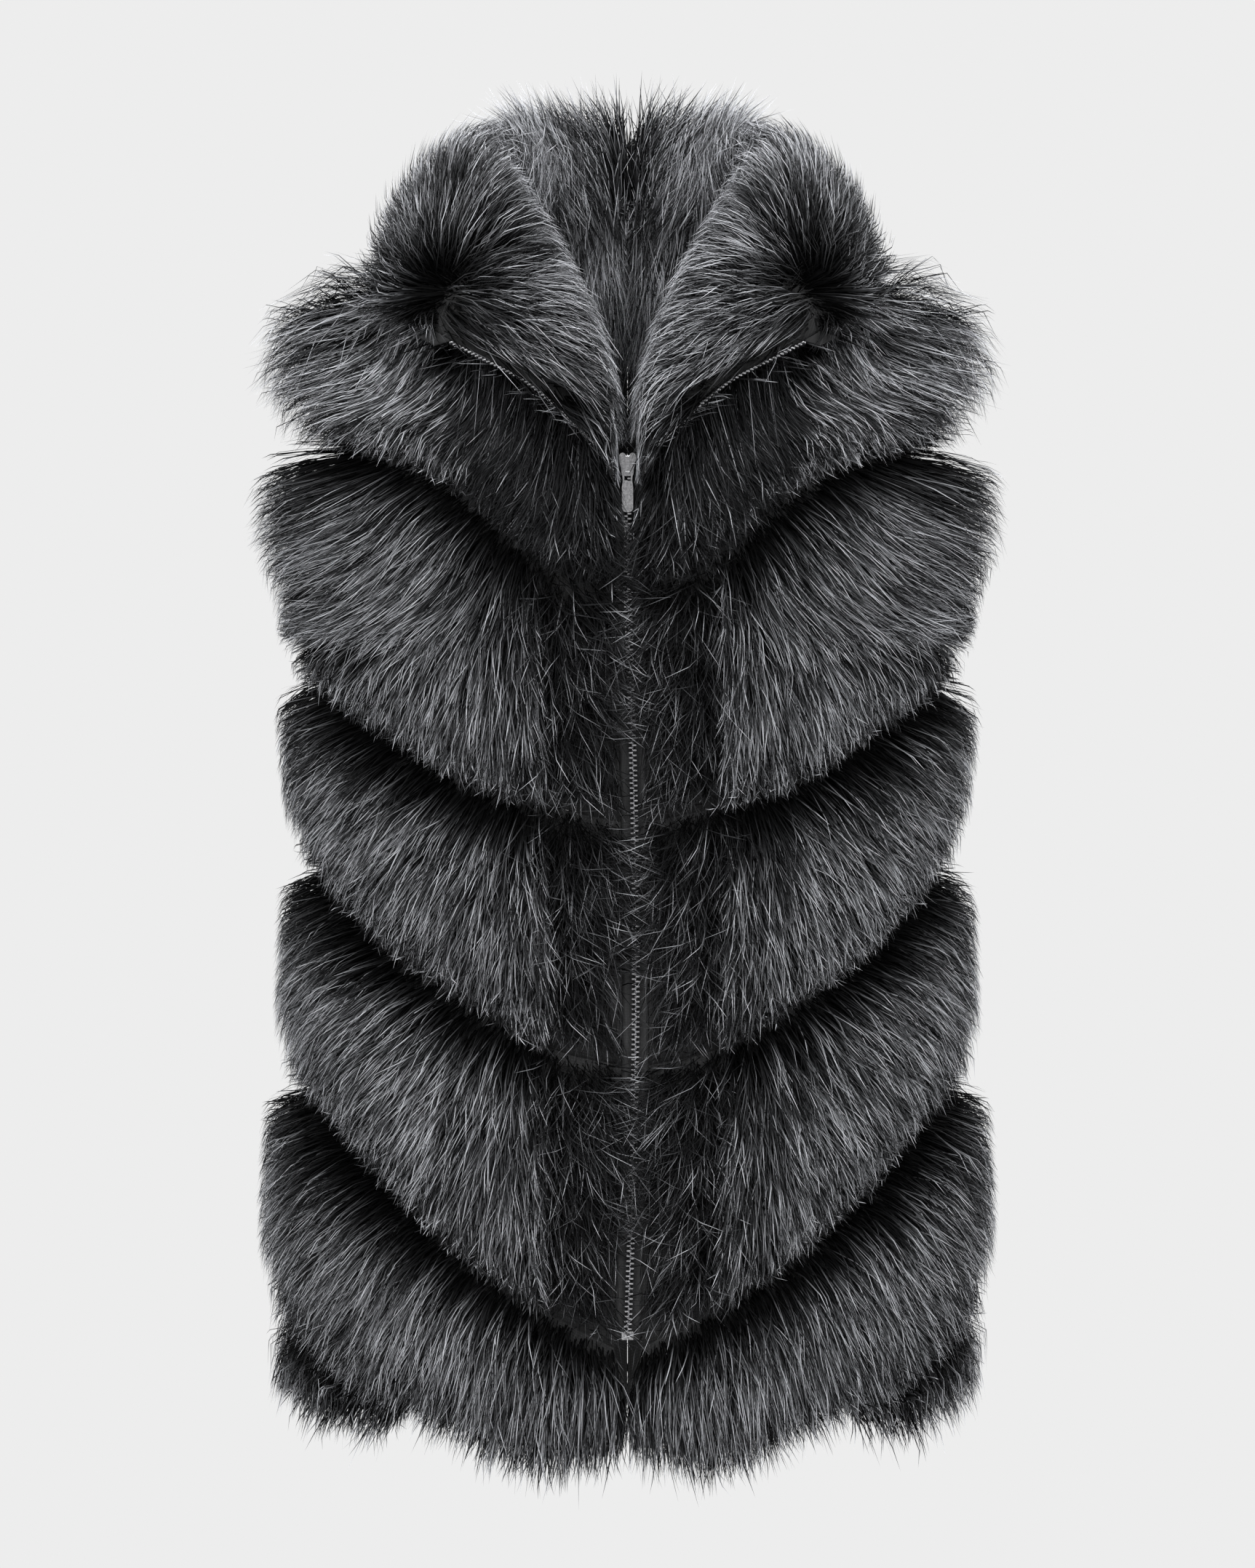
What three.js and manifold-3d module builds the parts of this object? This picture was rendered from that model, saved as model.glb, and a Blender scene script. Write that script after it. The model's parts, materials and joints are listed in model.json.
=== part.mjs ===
// A sleeveless faux fur vest in the form it has when it is worn, with nobody in it.
// It is cut as chevron bands of long-pile fur, with a narrow strip of shorter fur down each
// side of a metal zip, and a deep fur collar that the open top of the zip lets fall outward.
// Millimetres, +Z up, the front faces -Y. The origin is where the wearer holds it up: midway
// between the two shoulder seams' neck ends. Each wall runs from the cloth's inner face to
// the reach of its pile. Shapes are worked out for the wearer's left half (+X) and mirrored.
import * as THREE from 'three';
import Module from 'manifold-3d';
import { mergeVertices } from 'three/addons/utils/BufferGeometryUtils.js';

// Driving dimensions
const seamGap = 0.3; // between the pieces on either side of a seam
const neckSideX = 72; // neck end of the shoulder seam
const shoulderTipX = 190; // armhole end of the shoulder seam
const shoulderSlope = Math.tan(THREE.MathUtils.degToRad(20));
const underarmZ = -235;
const armholeBite = 0.4; // how far the armhole cuts into each face, as an angle in radians
const sliderZ = -136; // the middle of the slider; the zip is open above it
const zipEndZ = -663;
const zipWander = 5; // the closed zip bows this far sideways
const zipChannel = 8; // from the zip's middle to the fur on each side
const slitEdge = 1; // below the zip the fronts' edges hang this close to the middle
const stripEdge = 52; // from the zip's middle to the outer edge of the fur strip beside it
const squareness = 0.85; // power on the cosine: below 1 the body's rings are fuller than ellipses

const pileLoft = 29; // how far the long pile stands off the cloth
const sidePileLoft = 34; // at the side and the armhole, where it stands out most
const stripLoft = 15; // the shorter pile beside the zip
const underCollarLoft = 9; // the yoke's pile where the collar presses it down
const hemFlare = 18; // the pile hangs this far past the hem
const armholeFlare = 38; // and this far past the armhole's edge

// Rings of the garment's inner face: half width, and depth in front of and behind the side seams
const rings = [
  { z: -790, halfWidth: 194, front: 128, back: 136 },
  { z: -620, halfWidth: 189, front: 124, back: 134 },
  { z: -500, halfWidth: 181, front: 117, back: 121 },
  { z: -380, halfWidth: 173, front: 114, back: 105 },
  { z: -300, halfWidth: 175, front: 123, back: 107 },
  { z: -235, halfWidth: 179, front: 129, back: 112 },
  { z: -150, halfWidth: 184, front: 127, back: 116 },
  { z: -60, halfWidth: 190, front: 110, back: 110 },
  { z: 40, halfWidth: 196, front: 100, back: 100 },
];

// How each face closes over the shoulder: where the curve starts, and its two powers
const shoulderCurve = {
  front: { start: -130, rise: 1.4, fall: 1.4 },
  back: { start: -120, rise: 1.9, fall: 1.6 },
};

// The chevron seams and the hem, by their share of the way from the middle to the side seam
const across = [0, 0.2, 0.4, 0.6, 0.8, 1];
const seamHeights = {
  yokeSeam: [-212, -193, -158, -137, -129, -122],
  chestSeam: [-351, -341, -324, -297, -277, -260],
  waistSeam: [-498, -487, -456, -428, -398, -374],
  hipSeam: [-668, -644, -606, -563, -528, -509],
  cornerSeam: [-760, -737, -706, -699, -670, -646],
  frontHem: [-718, -729, -708, -709, -691, -670],
  backHem: [-714, -717, -713, -707, -690, -670],
};
const gridColumns = [0, 0.1, 0.2, 0.3, 0.4, 0.5, 0.6, 0.7, 0.8, 0.9, 1]; // the walls' own columns
const lastColumn = gridColumns.length - 1;
const stripColumn = 2; // the outer edge of the fur strip
const stripShare = gridColumns[stripColumn];
const neckColumn = 4; // where the shoulder seam meets the neckline
const cornerColumn = 5; // where the corner seam runs out at the hem
const cornerRise = 6; // the corner piece's height there
const freePuff = 0.55; // how full the pile still is at the hem

// Necklines, from the middle to the shoulder seam
const necklines = {
  front: [
    { t: 0, x: zipChannel, z: -147 },
    { t: 0.25, x: 15, z: -112 },
    { t: 0.5, x: 29, z: -72 },
    { t: 0.75, x: 49, z: -32 },
    { t: 1, x: neckSideX, z: 0 },
  ],
  back: [
    { t: 0, x: 0, z: -14 },
    { t: 0.5, x: 38, z: -9 },
    { t: 1, x: neckSideX, z: 0 },
  ],
};

// The pile's height down one band: 0 is its height in the seams, 1 its full loft. It puffs up
// below the seam it starts from and lies flatter at its tips.
const bandProfile = [
  { v: 0, puff: 0 },
  { v: 0.12, puff: 0.93 },
  { v: 0.3, puff: 1 },
  { v: 0.62, puff: 0.84 },
  { v: 0.84, puff: 0.56 },
  { v: 1, puff: 0 },
];
const seamShare = { middle: 0.56, side: 0.76 }; // the pile's height in the seams, of its loft

// Collar sections. s goes from the centre back (0) past the shoulder seam (1) to the slider (2).
// Each one rises from the neckline over a crest to the free edge.
const collarSections = [
  { s: 0, crest: [0, 74, 140], edge: [0, 124, -2], inside: 22, outside: 11, past: 24 },
  { s: 0.5, crest: [45, 68, 132], edge: [86, 106, -4], inside: 22, outside: 10, past: 24 },
  { s: 1, crest: [79, 8, 93], edge: [136, 20, 4], inside: 23, outside: 9, past: 24 },
  { s: 1.25, crest: [54, -62, 52], edge: [139, -34, -26], inside: 24, outside: 7, past: 26 },
  { s: 1.5, crest: [22, -122, -20], edge: [116, -79, -54], inside: 25, outside: 6, past: 40 },
  { s: 1.75, crest: [14, -150, -82], edge: [57, -122, -87], inside: 20, outside: 6, past: 34 },
  { s: 1.88, crest: [11, -156, -118], edge: [27, -144, -114], inside: 13, outside: 5, past: 20 },
  { s: 2, crest: [8.5, -150, -146], edge: [9, -151, -138], inside: 6, outside: 1.5, past: 2 },
];
const collarCorner = 1.5; // the collar's top corner; the zip's edge runs from here to the slider
const collarEdgeShare = 0.72; // the pile's height at the collar's edge, as a share
const ledgeDrop = 2.4; // the underside's pile starts this far behind the zip's teeth
const lipStart = 0.86; // how much of the edge's reach the rounding leaves
const collarRest = 4.5; // between the yoke's pile and the collar's
const lapelMeetZ = -112; // the halves touch above this

// The metal zip, a size 5
const zipTop = -143.3; // the closed part starts just below the slider
const tape = { thickness: 1.2 };
const teeth = { halfWidth: 3.05, thickness: 2.5 };
const teethLift = tape.thickness + seamGap;
const openRow = { from: 1.56, to: 1.84, near: 0.4, far: 3.4, under: 0, over: 2.5 };
const tapeEnd = { from: 1.5, to: 1.55, near: 0.4, far: 12, under: -0.9, over: 0.6 };
const stop = { width: 7, height: 5, thickness: 3.4 };
const slider = { plate: 1.4, channel: 2.9, channelWidth: 7.4, bridgeWidth: 2.6, divider: 1.6 };
const pivot = { z: -2.9, lift: 1.6 }; // from the slider's middle, and in front of its face
const tab = { width: 6.8, length: 26, thickness: 1.3, bar: 1.4, loopWidth: 4.8, loopLength: 7.1 };

const furColour = 0x2b2d30;
const clothColour = 0x17171a;
const metalColour = 0xc9cbcf;
const furMaterial = { color: furColour, roughness: 0.75, metalness: 0 };
const clothMaterial = { color: clothColour, roughness: 0.6, metalness: 0 };
const metalMaterial = { color: metalColour, roughness: 0.2, metalness: 1 };

const wasm = await Module();
wasm.setup();

const { clamp, lerp, smoothstep } = THREE.MathUtils;
const vec = (x, y, z) => new THREE.Vector3(x, y, z);

// A smooth curve through a table: cubic pieces whose slopes are those between the neighbours.
function along(keys, values, at) {
  const last = keys.length - 1;
  const forward = keys[last] > keys[0];
  const t = forward ? clamp(at, keys[0], keys[last]) : clamp(at, keys[last], keys[0]);
  let i = 0;
  while (i < last - 1 && (forward ? t > keys[i + 1] : t < keys[i + 1])) i += 1;
  const slope = (k) => {
    const [a, b] = [Math.max(0, k - 1), Math.min(last, k + 1)];
    return (values[b] - values[a]) / (keys[b] - keys[a]);
  };
  const span = keys[i + 1] - keys[i];
  const u = (t - keys[i]) / span;
  const [u2, u3] = [u * u, u * u * u];
  return (
    (2 * u3 - 3 * u2 + 1) * values[i] +
    (u3 - 2 * u2 + u) * span * slope(i) +
    (3 * u2 - 2 * u3) * values[i + 1] +
    (u3 - u2) * span * slope(i + 1)
  );
}

function column(table, key, name, at) {
  return along(
    table.map((row) => row[key]),
    table.map((row) => row[name]),
    at,
  );
}

const ring = (z, name) => column(rings, 'z', name, z);
const seamZ = (seam, c) => along(across, seamHeights[seam], c);
const ridgeZ = (x) => (neckSideX - x) * shoulderSlope;

// The closed zip's sideways bow at a height.
function wander(z) {
  const top = seamHeights.yokeSeam[0];
  const t = clamp((top - z) / (top - zipEndZ), 0, 1);
  return zipWander * Math.sin(Math.PI * t);
}

// How much of the ring's depth is left at a point below the shoulder.
function shoulderShare(face, x, z) {
  const { start, rise, fall } = shoulderCurve[face];
  const t = clamp((z - start) / (ridgeZ(x) - start), 0, 1);
  return (1 - t ** rise) ** (1 / fall);
}

// A point of the cloth's inner face, by its angle round from the middle and its height.
function bodyPoint(face, angle, z) {
  const x = ring(z, 'halfWidth') * Math.sin(angle);
  const depth =
    ring(z, face) * Math.max(0, Math.cos(angle)) ** squareness * shoulderShare(face, x, z);
  return vec(x, face === 'front' ? -depth : depth, z);
}

// The armhole bites into both faces between the underarm and the shoulder's tip.
const tipZ = ridgeZ(shoulderTipX);
const armholeMiddle = (underarmZ + tipZ) / 2;
const armholeHalf = (tipZ - underarmZ) / 2;
function edgeAngle(z) {
  const t = (z - armholeMiddle) / armholeHalf;
  return Math.PI / 2 - armholeBite * Math.sqrt(Math.max(0, 1 - t * t));
}
const armholeWindow = (z) => smoothstep(z, underarmZ, underarmZ + 50);

// The angle of column c (0 in the middle, 1 at the side) on one face, at a height.
function columnAngle(face, side, c, z) {
  if (face === 'back') return Math.asin(seamGap / 2 / ring(z, 'halfWidth')) * (1 - c) + c * edgeAngle(z);
  const bow = side * wander(z);
  const stripAngle = Math.asin((stripEdge + bow) / ring(z, 'halfWidth'));
  if (c > stripShare) {
    return lerp(stripAngle, edgeAngle(z), (c - stripShare) / (1 - stripShare));
  }
  const open = smoothstep(z, zipEndZ - 30, zipEndZ - 5);
  const x = lerp(lerp(slitEdge, zipChannel, open), stripEdge, c / stripShare) + bow;
  return Math.asin(x / ring(z, 'halfWidth'));
}

// The outward normal of the body, from two short steps along it.
function bodyNormal(face, angle, z) {
  const step = 0.02;
  const top = Math.min(z + 1, ridgeZ(ring(z, 'halfWidth') * Math.sin(angle)) - 0.5);
  const aside = bodyPoint(face, Math.min(angle + step, Math.PI / 2), z).sub(
    bodyPoint(face, Math.max(0, angle - step), z),
  );
  const upward = bodyPoint(face, angle, top).sub(bodyPoint(face, angle, z - 1));
  const normal = aside.cross(upward).normalize();
  return face === 'front' ? normal : normal.negate();
}

function loftAt(face, c) {
  if (face === 'front' && c < stripShare) return lerp(stripLoft, pileLoft, (c / stripShare) ** 2);
  return lerp(pileLoft, sidePileLoft, smoothstep(c, 0.6, 1));
}

function pileHeight(face, c, puff) {
  const least = lerp(seamShare.middle, seamShare.side, smoothstep(c, 0.6, 1));
  return loftAt(face, c) * lerp(least, 1, puff);
}

// One closed wall from two grids of points, rows first, both seen with the outer one in front.
// Its four sides split their quads alike, so that two panels that meet have the same faces there;
// turnTop splits the first row's side the other way, to meet an edge that is turned over.
function wallGeometry(inner, outer, mirrored, turnTop = false) {
  const [rows, cols] = [inner.length, inner[0].length];
  const flat = [...inner.flat(), ...outer.flat()];
  const positions = flat.flatMap((p) => [mirrored ? -p.x : p.x, p.y, p.z]);
  const id = (layer, r, c) => layer * rows * cols + r * cols + c;
  const faces = [];
  const quad = (a, b, c, d) => faces.push([a, b, c], [a, c, d]);
  for (let r = 0; r < rows - 1; r += 1) {
    for (let c = 0; c < cols - 1; c += 1) {
      quad(id(1, r, c), id(1, r + 1, c), id(1, r + 1, c + 1), id(1, r, c + 1));
      quad(id(0, r, c), id(0, r, c + 1), id(0, r + 1, c + 1), id(0, r + 1, c));
    }
  }
  for (let r = 0; r < rows - 1; r += 1) {
    quad(id(0, r, 0), id(0, r + 1, 0), id(1, r + 1, 0), id(1, r, 0));
    quad(id(0, r, cols - 1), id(1, r, cols - 1), id(1, r + 1, cols - 1), id(0, r + 1, cols - 1));
  }
  for (let c = 0; c < cols - 1; c += 1) {
    const top = [id(0, 0, c + 1), id(0, 0, c), id(1, 0, c), id(1, 0, c + 1)];
    quad(...(turnTop ? [...top.slice(1), top[0]] : top));
    quad(id(0, rows - 1, c + 1), id(1, rows - 1, c + 1), id(1, rows - 1, c), id(0, rows - 1, c));
  }
  const order = mirrored ? ([a, b, c]) => [a, c, b] : (f) => f;
  const geometry = new THREE.BufferGeometry();
  geometry.setAttribute('position', new THREE.Float32BufferAttribute(positions, 3));
  geometry.setIndex(faces.flatMap(order));
  geometry.computeVertexNormals();
  return geometry;
}

const group = new THREE.Group();
function addMesh(name, geometry, look, parent = group) {
  const mesh = new THREE.Mesh(geometry, new THREE.MeshStandardMaterial(look));
  mesh.name = name;
  parent.add(mesh);
  return mesh;
}

const sides = [
  { side: 1, label: 'left' },
  { side: -1, label: 'right' },
];

// A grid seen from outside with +X to the right must run left to right; the back's runs the
// other way, so its columns are turned round.
function facing(face, grid) {
  return face === 'front' ? grid : grid.map((row) => [...row].reverse());
}

// Which way the pile stands at column c: along the normal, leaning over the armhole's edge.
function pileDirection(face, side, c, z) {
  const normal = bodyNormal(face, columnAngle(face, side, c, z), z);
  if (c === 1 && z < underarmZ) normal.setY(0).normalize();
  if (face === 'back' && c === 0) normal.setX(0).normalize();
  const turn = face === 'front' ? 1 : -1;
  const aside = vec(-normal.y * turn, normal.x * turn, 0).normalize();
  const lean = (armholeFlare / sidePileLoft) * armholeWindow(z) * smoothstep(c, 0.72, 1);
  return normal.addScaledVector(aside, lean);
}

// One fur panel between two seams, from grid column i0 to grid column i1. Where hang(i) is
// above 0 its lower edge is free and the pile hangs past it.
function bandWall({ face, side, top, bottom, i0, i1, hang = () => 0, rows = bandProfile }) {
  const [inner, outer] = [[], []];
  for (const { v, puff } of rows) {
    const [innerRow, outerRow] = [[], []];
    for (let i = i0; i <= i1; i += 1) {
      const c = gridColumns[i];
      const z = lerp(top(i) - seamGap / 2, bottom(i) + seamGap / 2, v);
      const p = bodyPoint(face, columnAngle(face, side, c, z), z);
      if (i === i0 && i0 > 0) p.x += seamGap / 2;
      if (i === i1 && c < 1) p.x -= seamGap / 2;
      if (c === 1) p.y += ((face === 'front' ? -1 : 1) * seamGap) / 2;
      const height = pileHeight(face, c, lerp(puff, Math.max(puff, freePuff), v * hang(i)));
      const out = p.clone().addScaledVector(pileDirection(face, side, c, z), height);
      out.z -= hemFlare * hang(i) * smoothstep(v, 0.45, 1);
      innerRow.push(p);
      outerRow.push(out);
    }
    inner.push(innerRow);
    outer.push(outerRow);
  }
  return wallGeometry(facing(face, inner), facing(face, outer), side < 0);
}

const furBands = [
  { name: 'chest', top: 'yokeSeam', bottom: 'chestSeam' },
  { name: 'waist', top: 'chestSeam', bottom: 'waistSeam' },
  { name: 'hip', top: 'waistSeam', bottom: 'hipSeam' },
];
const seamAt = (seam) => (i) => seamZ(seam, gridColumns[i]);

function addBands(face, side, label) {
  for (const { name, top, bottom } of furBands) {
    const edges = { face, side, top: seamAt(top), bottom: seamAt(bottom) };
    if (face === 'front') {
      const strip = { ...edges, i0: 0, i1: stripColumn };
      addMesh(`zip_strip_${name}_${label}`, bandWall(strip), furMaterial);
    }
    const band = { ...edges, i0: face === 'front' ? stripColumn : 0, i1: lastColumn };
    addMesh(`${face}_${name}_${label}`, bandWall(band), furMaterial);
  }
}

// The lowest band ends at the hem, and past cornerColumn at the corner seam. Below that seam
// is a small corner piece.
function addHem(face, side, label) {
  const hem = seamAt(`${face}Hem`);
  const cornerTop = (i) => Math.max(seamAt('cornerSeam')(i), hem(i) + cornerRise);
  const lower = {
    top: seamAt('hipSeam'),
    bottom: (i) => (i < cornerColumn ? hem(i) : cornerTop(i)),
    i0: 0,
    hang: (i) => clamp((cornerColumn - i) / 2, 0, 1),
  };
  const corner = {
    top: cornerTop,
    bottom: hem,
    i0: cornerColumn,
    hang: (i) => clamp(0.4 + (i - cornerColumn) / 3, 0, 1),
  };
  for (const [name, piece] of Object.entries({ lower, corner })) {
    const wall = bandWall({ face, side, i1: lastColumn, ...piece });
    addMesh(`${face}_${name}_${label}`, wall, furMaterial);
  }
}

// A neckline or shoulder point at a grid column of the yoke's top edge.
function yokeTop(face, i) {
  if (i >= neckColumn) {
    const x = lerp(neckSideX, shoulderTipX, (i - neckColumn) / (lastColumn - neckColumn));
    return { x, z: ridgeZ(x) };
  }
  const x = column(necklines[face], 't', 'x', i / neckColumn);
  return { x, z: column(necklines[face], 't', 'z', i / neckColumn) };
}

// The normals of a grid of points, from each point's neighbours.
function gridNormals(grid) {
  return grid.map((row, r) =>
    row.map((_, c) => {
      const [up, down] = [grid[Math.max(0, r - 1)][c], grid[Math.min(grid.length - 1, r + 1)][c]];
      const [before, after] = [row[Math.max(0, c - 1)], row[Math.min(row.length - 1, c + 1)]];
      return after.clone().sub(before).cross(up.clone().sub(down)).normalize();
    }),
  );
}

// The yoke's grid: from the neckline and the shoulder seam down to the first chevron seam. Its
// rows crowd towards the top, where the cloth turns over the shoulder.
const yokeRows = [0, 0.1, 0.22, 0.36, 0.5, 0.66, 0.8, 0.91, 1];
const crowding = 1.6;
function yokeGrid(face, side) {
  const inner = yokeRows.map((v) =>
    gridColumns.map((c, i) => {
      const { x, z: zTop } = yokeTop(face, i);
      const topAngle = Math.asin(Math.min(1, x / ring(zTop, 'halfWidth')));
      const zBottom = seamZ('yokeSeam', c) + seamGap / 2;
      const topShare = topAngle / edgeAngle(zTop);
      const bottomShare = columnAngle(face, side, c, zBottom) / edgeAngle(zBottom);
      const z = lerp(zTop, zBottom, v ** crowding);
      const p = bodyPoint(face, lerp(topShare, bottomShare, v) * edgeAngle(z), z);
      if (v === 0 && i >= neckColumn) p.y = ((face === 'front' ? -1 : 1) * seamGap) / 2;
      if (face === 'back' && i === 0) p.x = seamGap / 2;
      return p;
    }),
  );
  const normals = gridNormals(inner);
  const outer = inner.map((row, r) =>
    row.map((p, i) => {
      const [c, v] = [gridColumns[i], yokeRows[r]];
      const direction = normals[r][i];
      if (face === 'back') direction.negate();
      const toShoulder = vec(shoulderSlope, 0, 1).normalize();
      if (v === 0) direction.lerp(toShoulder, Math.min(1, i / neckColumn) ** 2).normalize();
      if (i === 0) direction.setX(0).normalize();
      const lean = (armholeFlare / sidePileLoft) * smoothstep(c, 0.78, 1);
      const turn = face === 'front' ? 1 : -1;
      const aside = vec(-direction.y * turn, direction.x * turn, 0);
      if (v === 0 && i >= neckColumn) aside.set(direction.z, 0, -direction.x);
      direction.addScaledVector(aside.normalize(), lean * lerp(0.4, 0.75, smoothstep(v, 0, 0.3)));
      if (v === 1) direction.copy(pileDirection(face, side, c, p.z));
      const atTip = lerp(1, 0, smoothstep(c, 0.88, 1));
      const atArmhole = smoothstep(c, 0.84, 0.96) * lerp(atTip, 1, smoothstep(v, 0, 0.25));
      const open = Math.max(smoothstep(v, 0.76, 0.92), atArmhole);
      const full = pileHeight(face, c, 1 - smoothstep(v, 0.85, 1));
      return p.clone().addScaledVector(direction, lerp(underCollarLoft, full, open));
    }),
  );
  return { inner, outer };
}

function yokeWall(face, side) {
  const { inner, outer } = yokeGrid(face, side);
  return wallGeometry(facing(face, inner), facing(face, outer), side < 0);
}

// The yoke's neckline edge at s, inner and outer: 0 is the centre back, 1 the shoulder seam,
// 2 the slider. It follows the yoke's own straight steps.
const neckGrids = { front: yokeGrid('front', 1), back: yokeGrid('back', 1) };
function neckEdge(s) {
  const face = s <= 1 ? 'back' : 'front';
  const at = (s <= 1 ? s : 2 - s) * neckColumn;
  const i = Math.min(Math.floor(at), neckColumn - 1);
  const row = (layer) => neckGrids[face][layer][0];
  const [inner, outer] = ['inner', 'outer'].map((k) => row(k)[i].clone().lerp(row(k)[i + 1], at - i));
  const clear = row('inner')[i + 1].clone().sub(row('inner')[i]).cross(outer.clone().sub(inner));
  clear.setLength(seamGap).multiplyScalar(face === 'back' ? 1.3 : -1);
  if (s === 0) clear.setX(0);
  return { inner, outer, clear };
}

function collarSection(s, name) {
  const keys = collarSections.map((row) => row.s);
  const at = (values) => along(keys, values, s);
  const cells = collarSections.map((row) => row[name]);
  return cells[0].length ? vec(...[0, 1, 2].map((k) => at(cells.map((p) => p[k])))) : at(cells);
}

// The collar's middle surface: at each section a curve from the neckline over the crest.
function collarPoint(s, r) {
  const { inner, outer, clear } = neckEdge(s);
  const root = inner.lerp(outer, 0.5).add(clear);
  const [crest, edge] = [collarSection(s, 'crest'), collarSection(s, 'edge')];
  return new THREE.QuadraticBezierCurve3(root, crest, edge).getPoint(r);
}

// Moves a point of the collar's underside off the yoke that it lies on.
function liftOffYoke(face, p, rest) {
  const z = Math.min(p.z, ridgeZ(p.x) - 2);
  const angle = Math.asin(clamp(p.x / ring(z, 'halfWidth'), 0, 1));
  const normal = bodyNormal(face, angle, z);
  const height = p.clone().sub(bodyPoint(face, angle, z)).dot(normal);
  const short = underCollarLoft + rest - height;
  return p.addScaledVector(normal, Math.max(0, short));
}

// The two halves of the collar meet in the middle above the slider, and clear it below that.
function clearMiddle(p) {
  const least = lerp(seamGap / 2, zipChannel, smoothstep(-p.z, -lapelMeetZ - 20, -lapelMeetZ));
  p.x = Math.max(p.x, least);
  return p;
}

const collarSteps = 8; // for each unit of s
const collarColumns = Array.from({ length: 2 * collarSteps + 1 }, (_, j) => j / collarSteps);
const collarRows = [0, 0.1, 0.22, 0.36, 0.5, 0.65, 0.8, 0.92, 1].map((r) => ({ r, lip: false }));
collarRows.push({ r: 1, lip: true }); // the last row rounds the edge, or is the ledge under the zip
const collarEdges = collarColumns.map((s) => {
  const outward = collarPoint(s, 1).sub(collarPoint(s, 0.85)).normalize();
  return s === 0 ? outward.setX(0) : outward;
});
function collarGrids() {
  const middle = collarRows.map(({ r }) => collarColumns.map((s) => collarPoint(s, r)));
  const normals = gridNormals(middle.slice(0, -1));
  normals.push(normals.at(-1).map((normal) => normal.clone()));
  const [inside, outside] = [[], []];
  middle.forEach((row, i) => {
    const { r, lip } = collarRows[i];
    const [insideRow, outsideRow] = [[], []];
    row.forEach((p, j) => {
      const s = collarColumns[j];
      const normal = normals[i][j];
      if (s === 0) {
        normal.setX(0).normalize();
        p.setX(seamGap / 2);
      }
      const zipped = smoothstep(s, collarCorner - 0.08, collarCorner);
      const past = collarSection(s, 'past') * smoothstep(r, 0.5, 1);
      const share = lerp(1, collarEdgeShare, smoothstep(r, 0.7, 1));
      const inside = collarSection(s, 'inside') * share * (lip ? lerp(0.5, 0, zipped) : 1);
      const a = p.clone().addScaledVector(normal, -inside);
      if (lip) a.addScaledVector(normal, ledgeDrop * zipped);
      a.addScaledVector(collarEdges[j], past * (1 - zipped) * (lip ? 1 : lipStart));
      const b = p.clone().addScaledVector(normal, collarSection(s, 'outside') * share);
      b.addScaledVector(collarEdges[j], past * lerp(0.6, 1, zipped) * (lip ? 1 : lipStart));
      const { inner, outer, clear } = neckEdge(s);
      const risen = p.clone().sub(collarPoint(s, 0)).add(clear);
      const leave = smoothstep(r, 0, 0.45);
      a.lerpVectors(inner.add(risen), a, leave);
      b.lerpVectors(outer.add(risen), b, leave);
      if (r > 0) liftOffYoke(s > 1 ? 'front' : 'back', b, seamGap + collarRest * smoothstep(r, 0, 0.3));
      insideRow.push(clearMiddle(a));
      outsideRow.push(clearMiddle(b));
    });
    inside.push(insideRow);
    outside.push(outsideRow);
  });
  const frames = middle.at(-1).map((p, j) => {
    return { p, outward: collarEdges[j], front: normals.at(-1)[j].clone().negate() };
  });
  return { inside, outside, frames };
}
const collar = collarGrids();

// A point of the closed zip: across from its middle, at a height, in front of the cloth's inner face.
function zipPoint(side, across, z, lift) {
  const { y } = bodyPoint('front', 0, z);
  return vec(across + side * wander(z), y - lift, z);
}

const zipSteps = Array.from({ length: 21 }, (_, i) => lerp(zipTop, zipEndZ, i / 20));

// A straight-sided bar down the closed zip.
function zipBar(side, { from, to, near, far, lift, thickness }) {
  const heights = [to, ...zipSteps.filter((z) => z < to - 1 && z > from + 1), from];
  const layer = (at) => heights.map((z) => [near, far].map((x) => zipPoint(side, x, z, at)));
  return wallGeometry(layer(lift), layer(lift + thickness), side < 0);
}

// The collar's edge at s: a point of the cloth, the way out past it, and the way its inside faces.
function edgeFrame(s) {
  const j = Math.min(Math.floor(s * collarSteps), 2 * collarSteps - 1);
  const [a, b] = [collar.frames[j], collar.frames[j + 1]];
  const mixed = (key) => a[key].clone().lerp(b[key], s * collarSteps - j);
  return { p: mixed('p'), outward: mixed('outward').normalize(), front: mixed('front').normalize() };
}

// A bar along the zipped edge of the collar, from its corner towards the slider.
function edgeBar(side, { from, to, near, far, under, over }) {
  const inner = Array.from({ length: 2 * collarSteps }, (_, j) => j / collarSteps);
  const stations = [from, ...inner.filter((s) => s > from + 0.01 && s < to - 0.01), to];
  const layer = (at) =>
    stations.map(edgeFrame).map(({ p, outward, front }) =>
      [near, far].map((out) => p.clone().addScaledVector(outward, out).addScaledVector(front, at)),
    );
  return wallGeometry(layer(under), layer(over), side < 0);
}

const sliderY = bodyPoint('front', 0, zipTop).y - teethLift - teeth.thickness / 2;
const sliderFace = sliderY - slider.channel / 2 - slider.plate;

function solidOf(geometry) {
  const bare = geometry.clone();
  bare.deleteAttribute('normal');
  bare.deleteAttribute('uv');
  const merged = mergeVertices(bare, 1e-4);
  const triVerts = new Uint32Array(merged.index.array);
  const vertProperties = new Float32Array(merged.attributes.position.array);
  return new wasm.Manifold(new wasm.Mesh({ numProp: 3, vertProperties, triVerts }));
}

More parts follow.
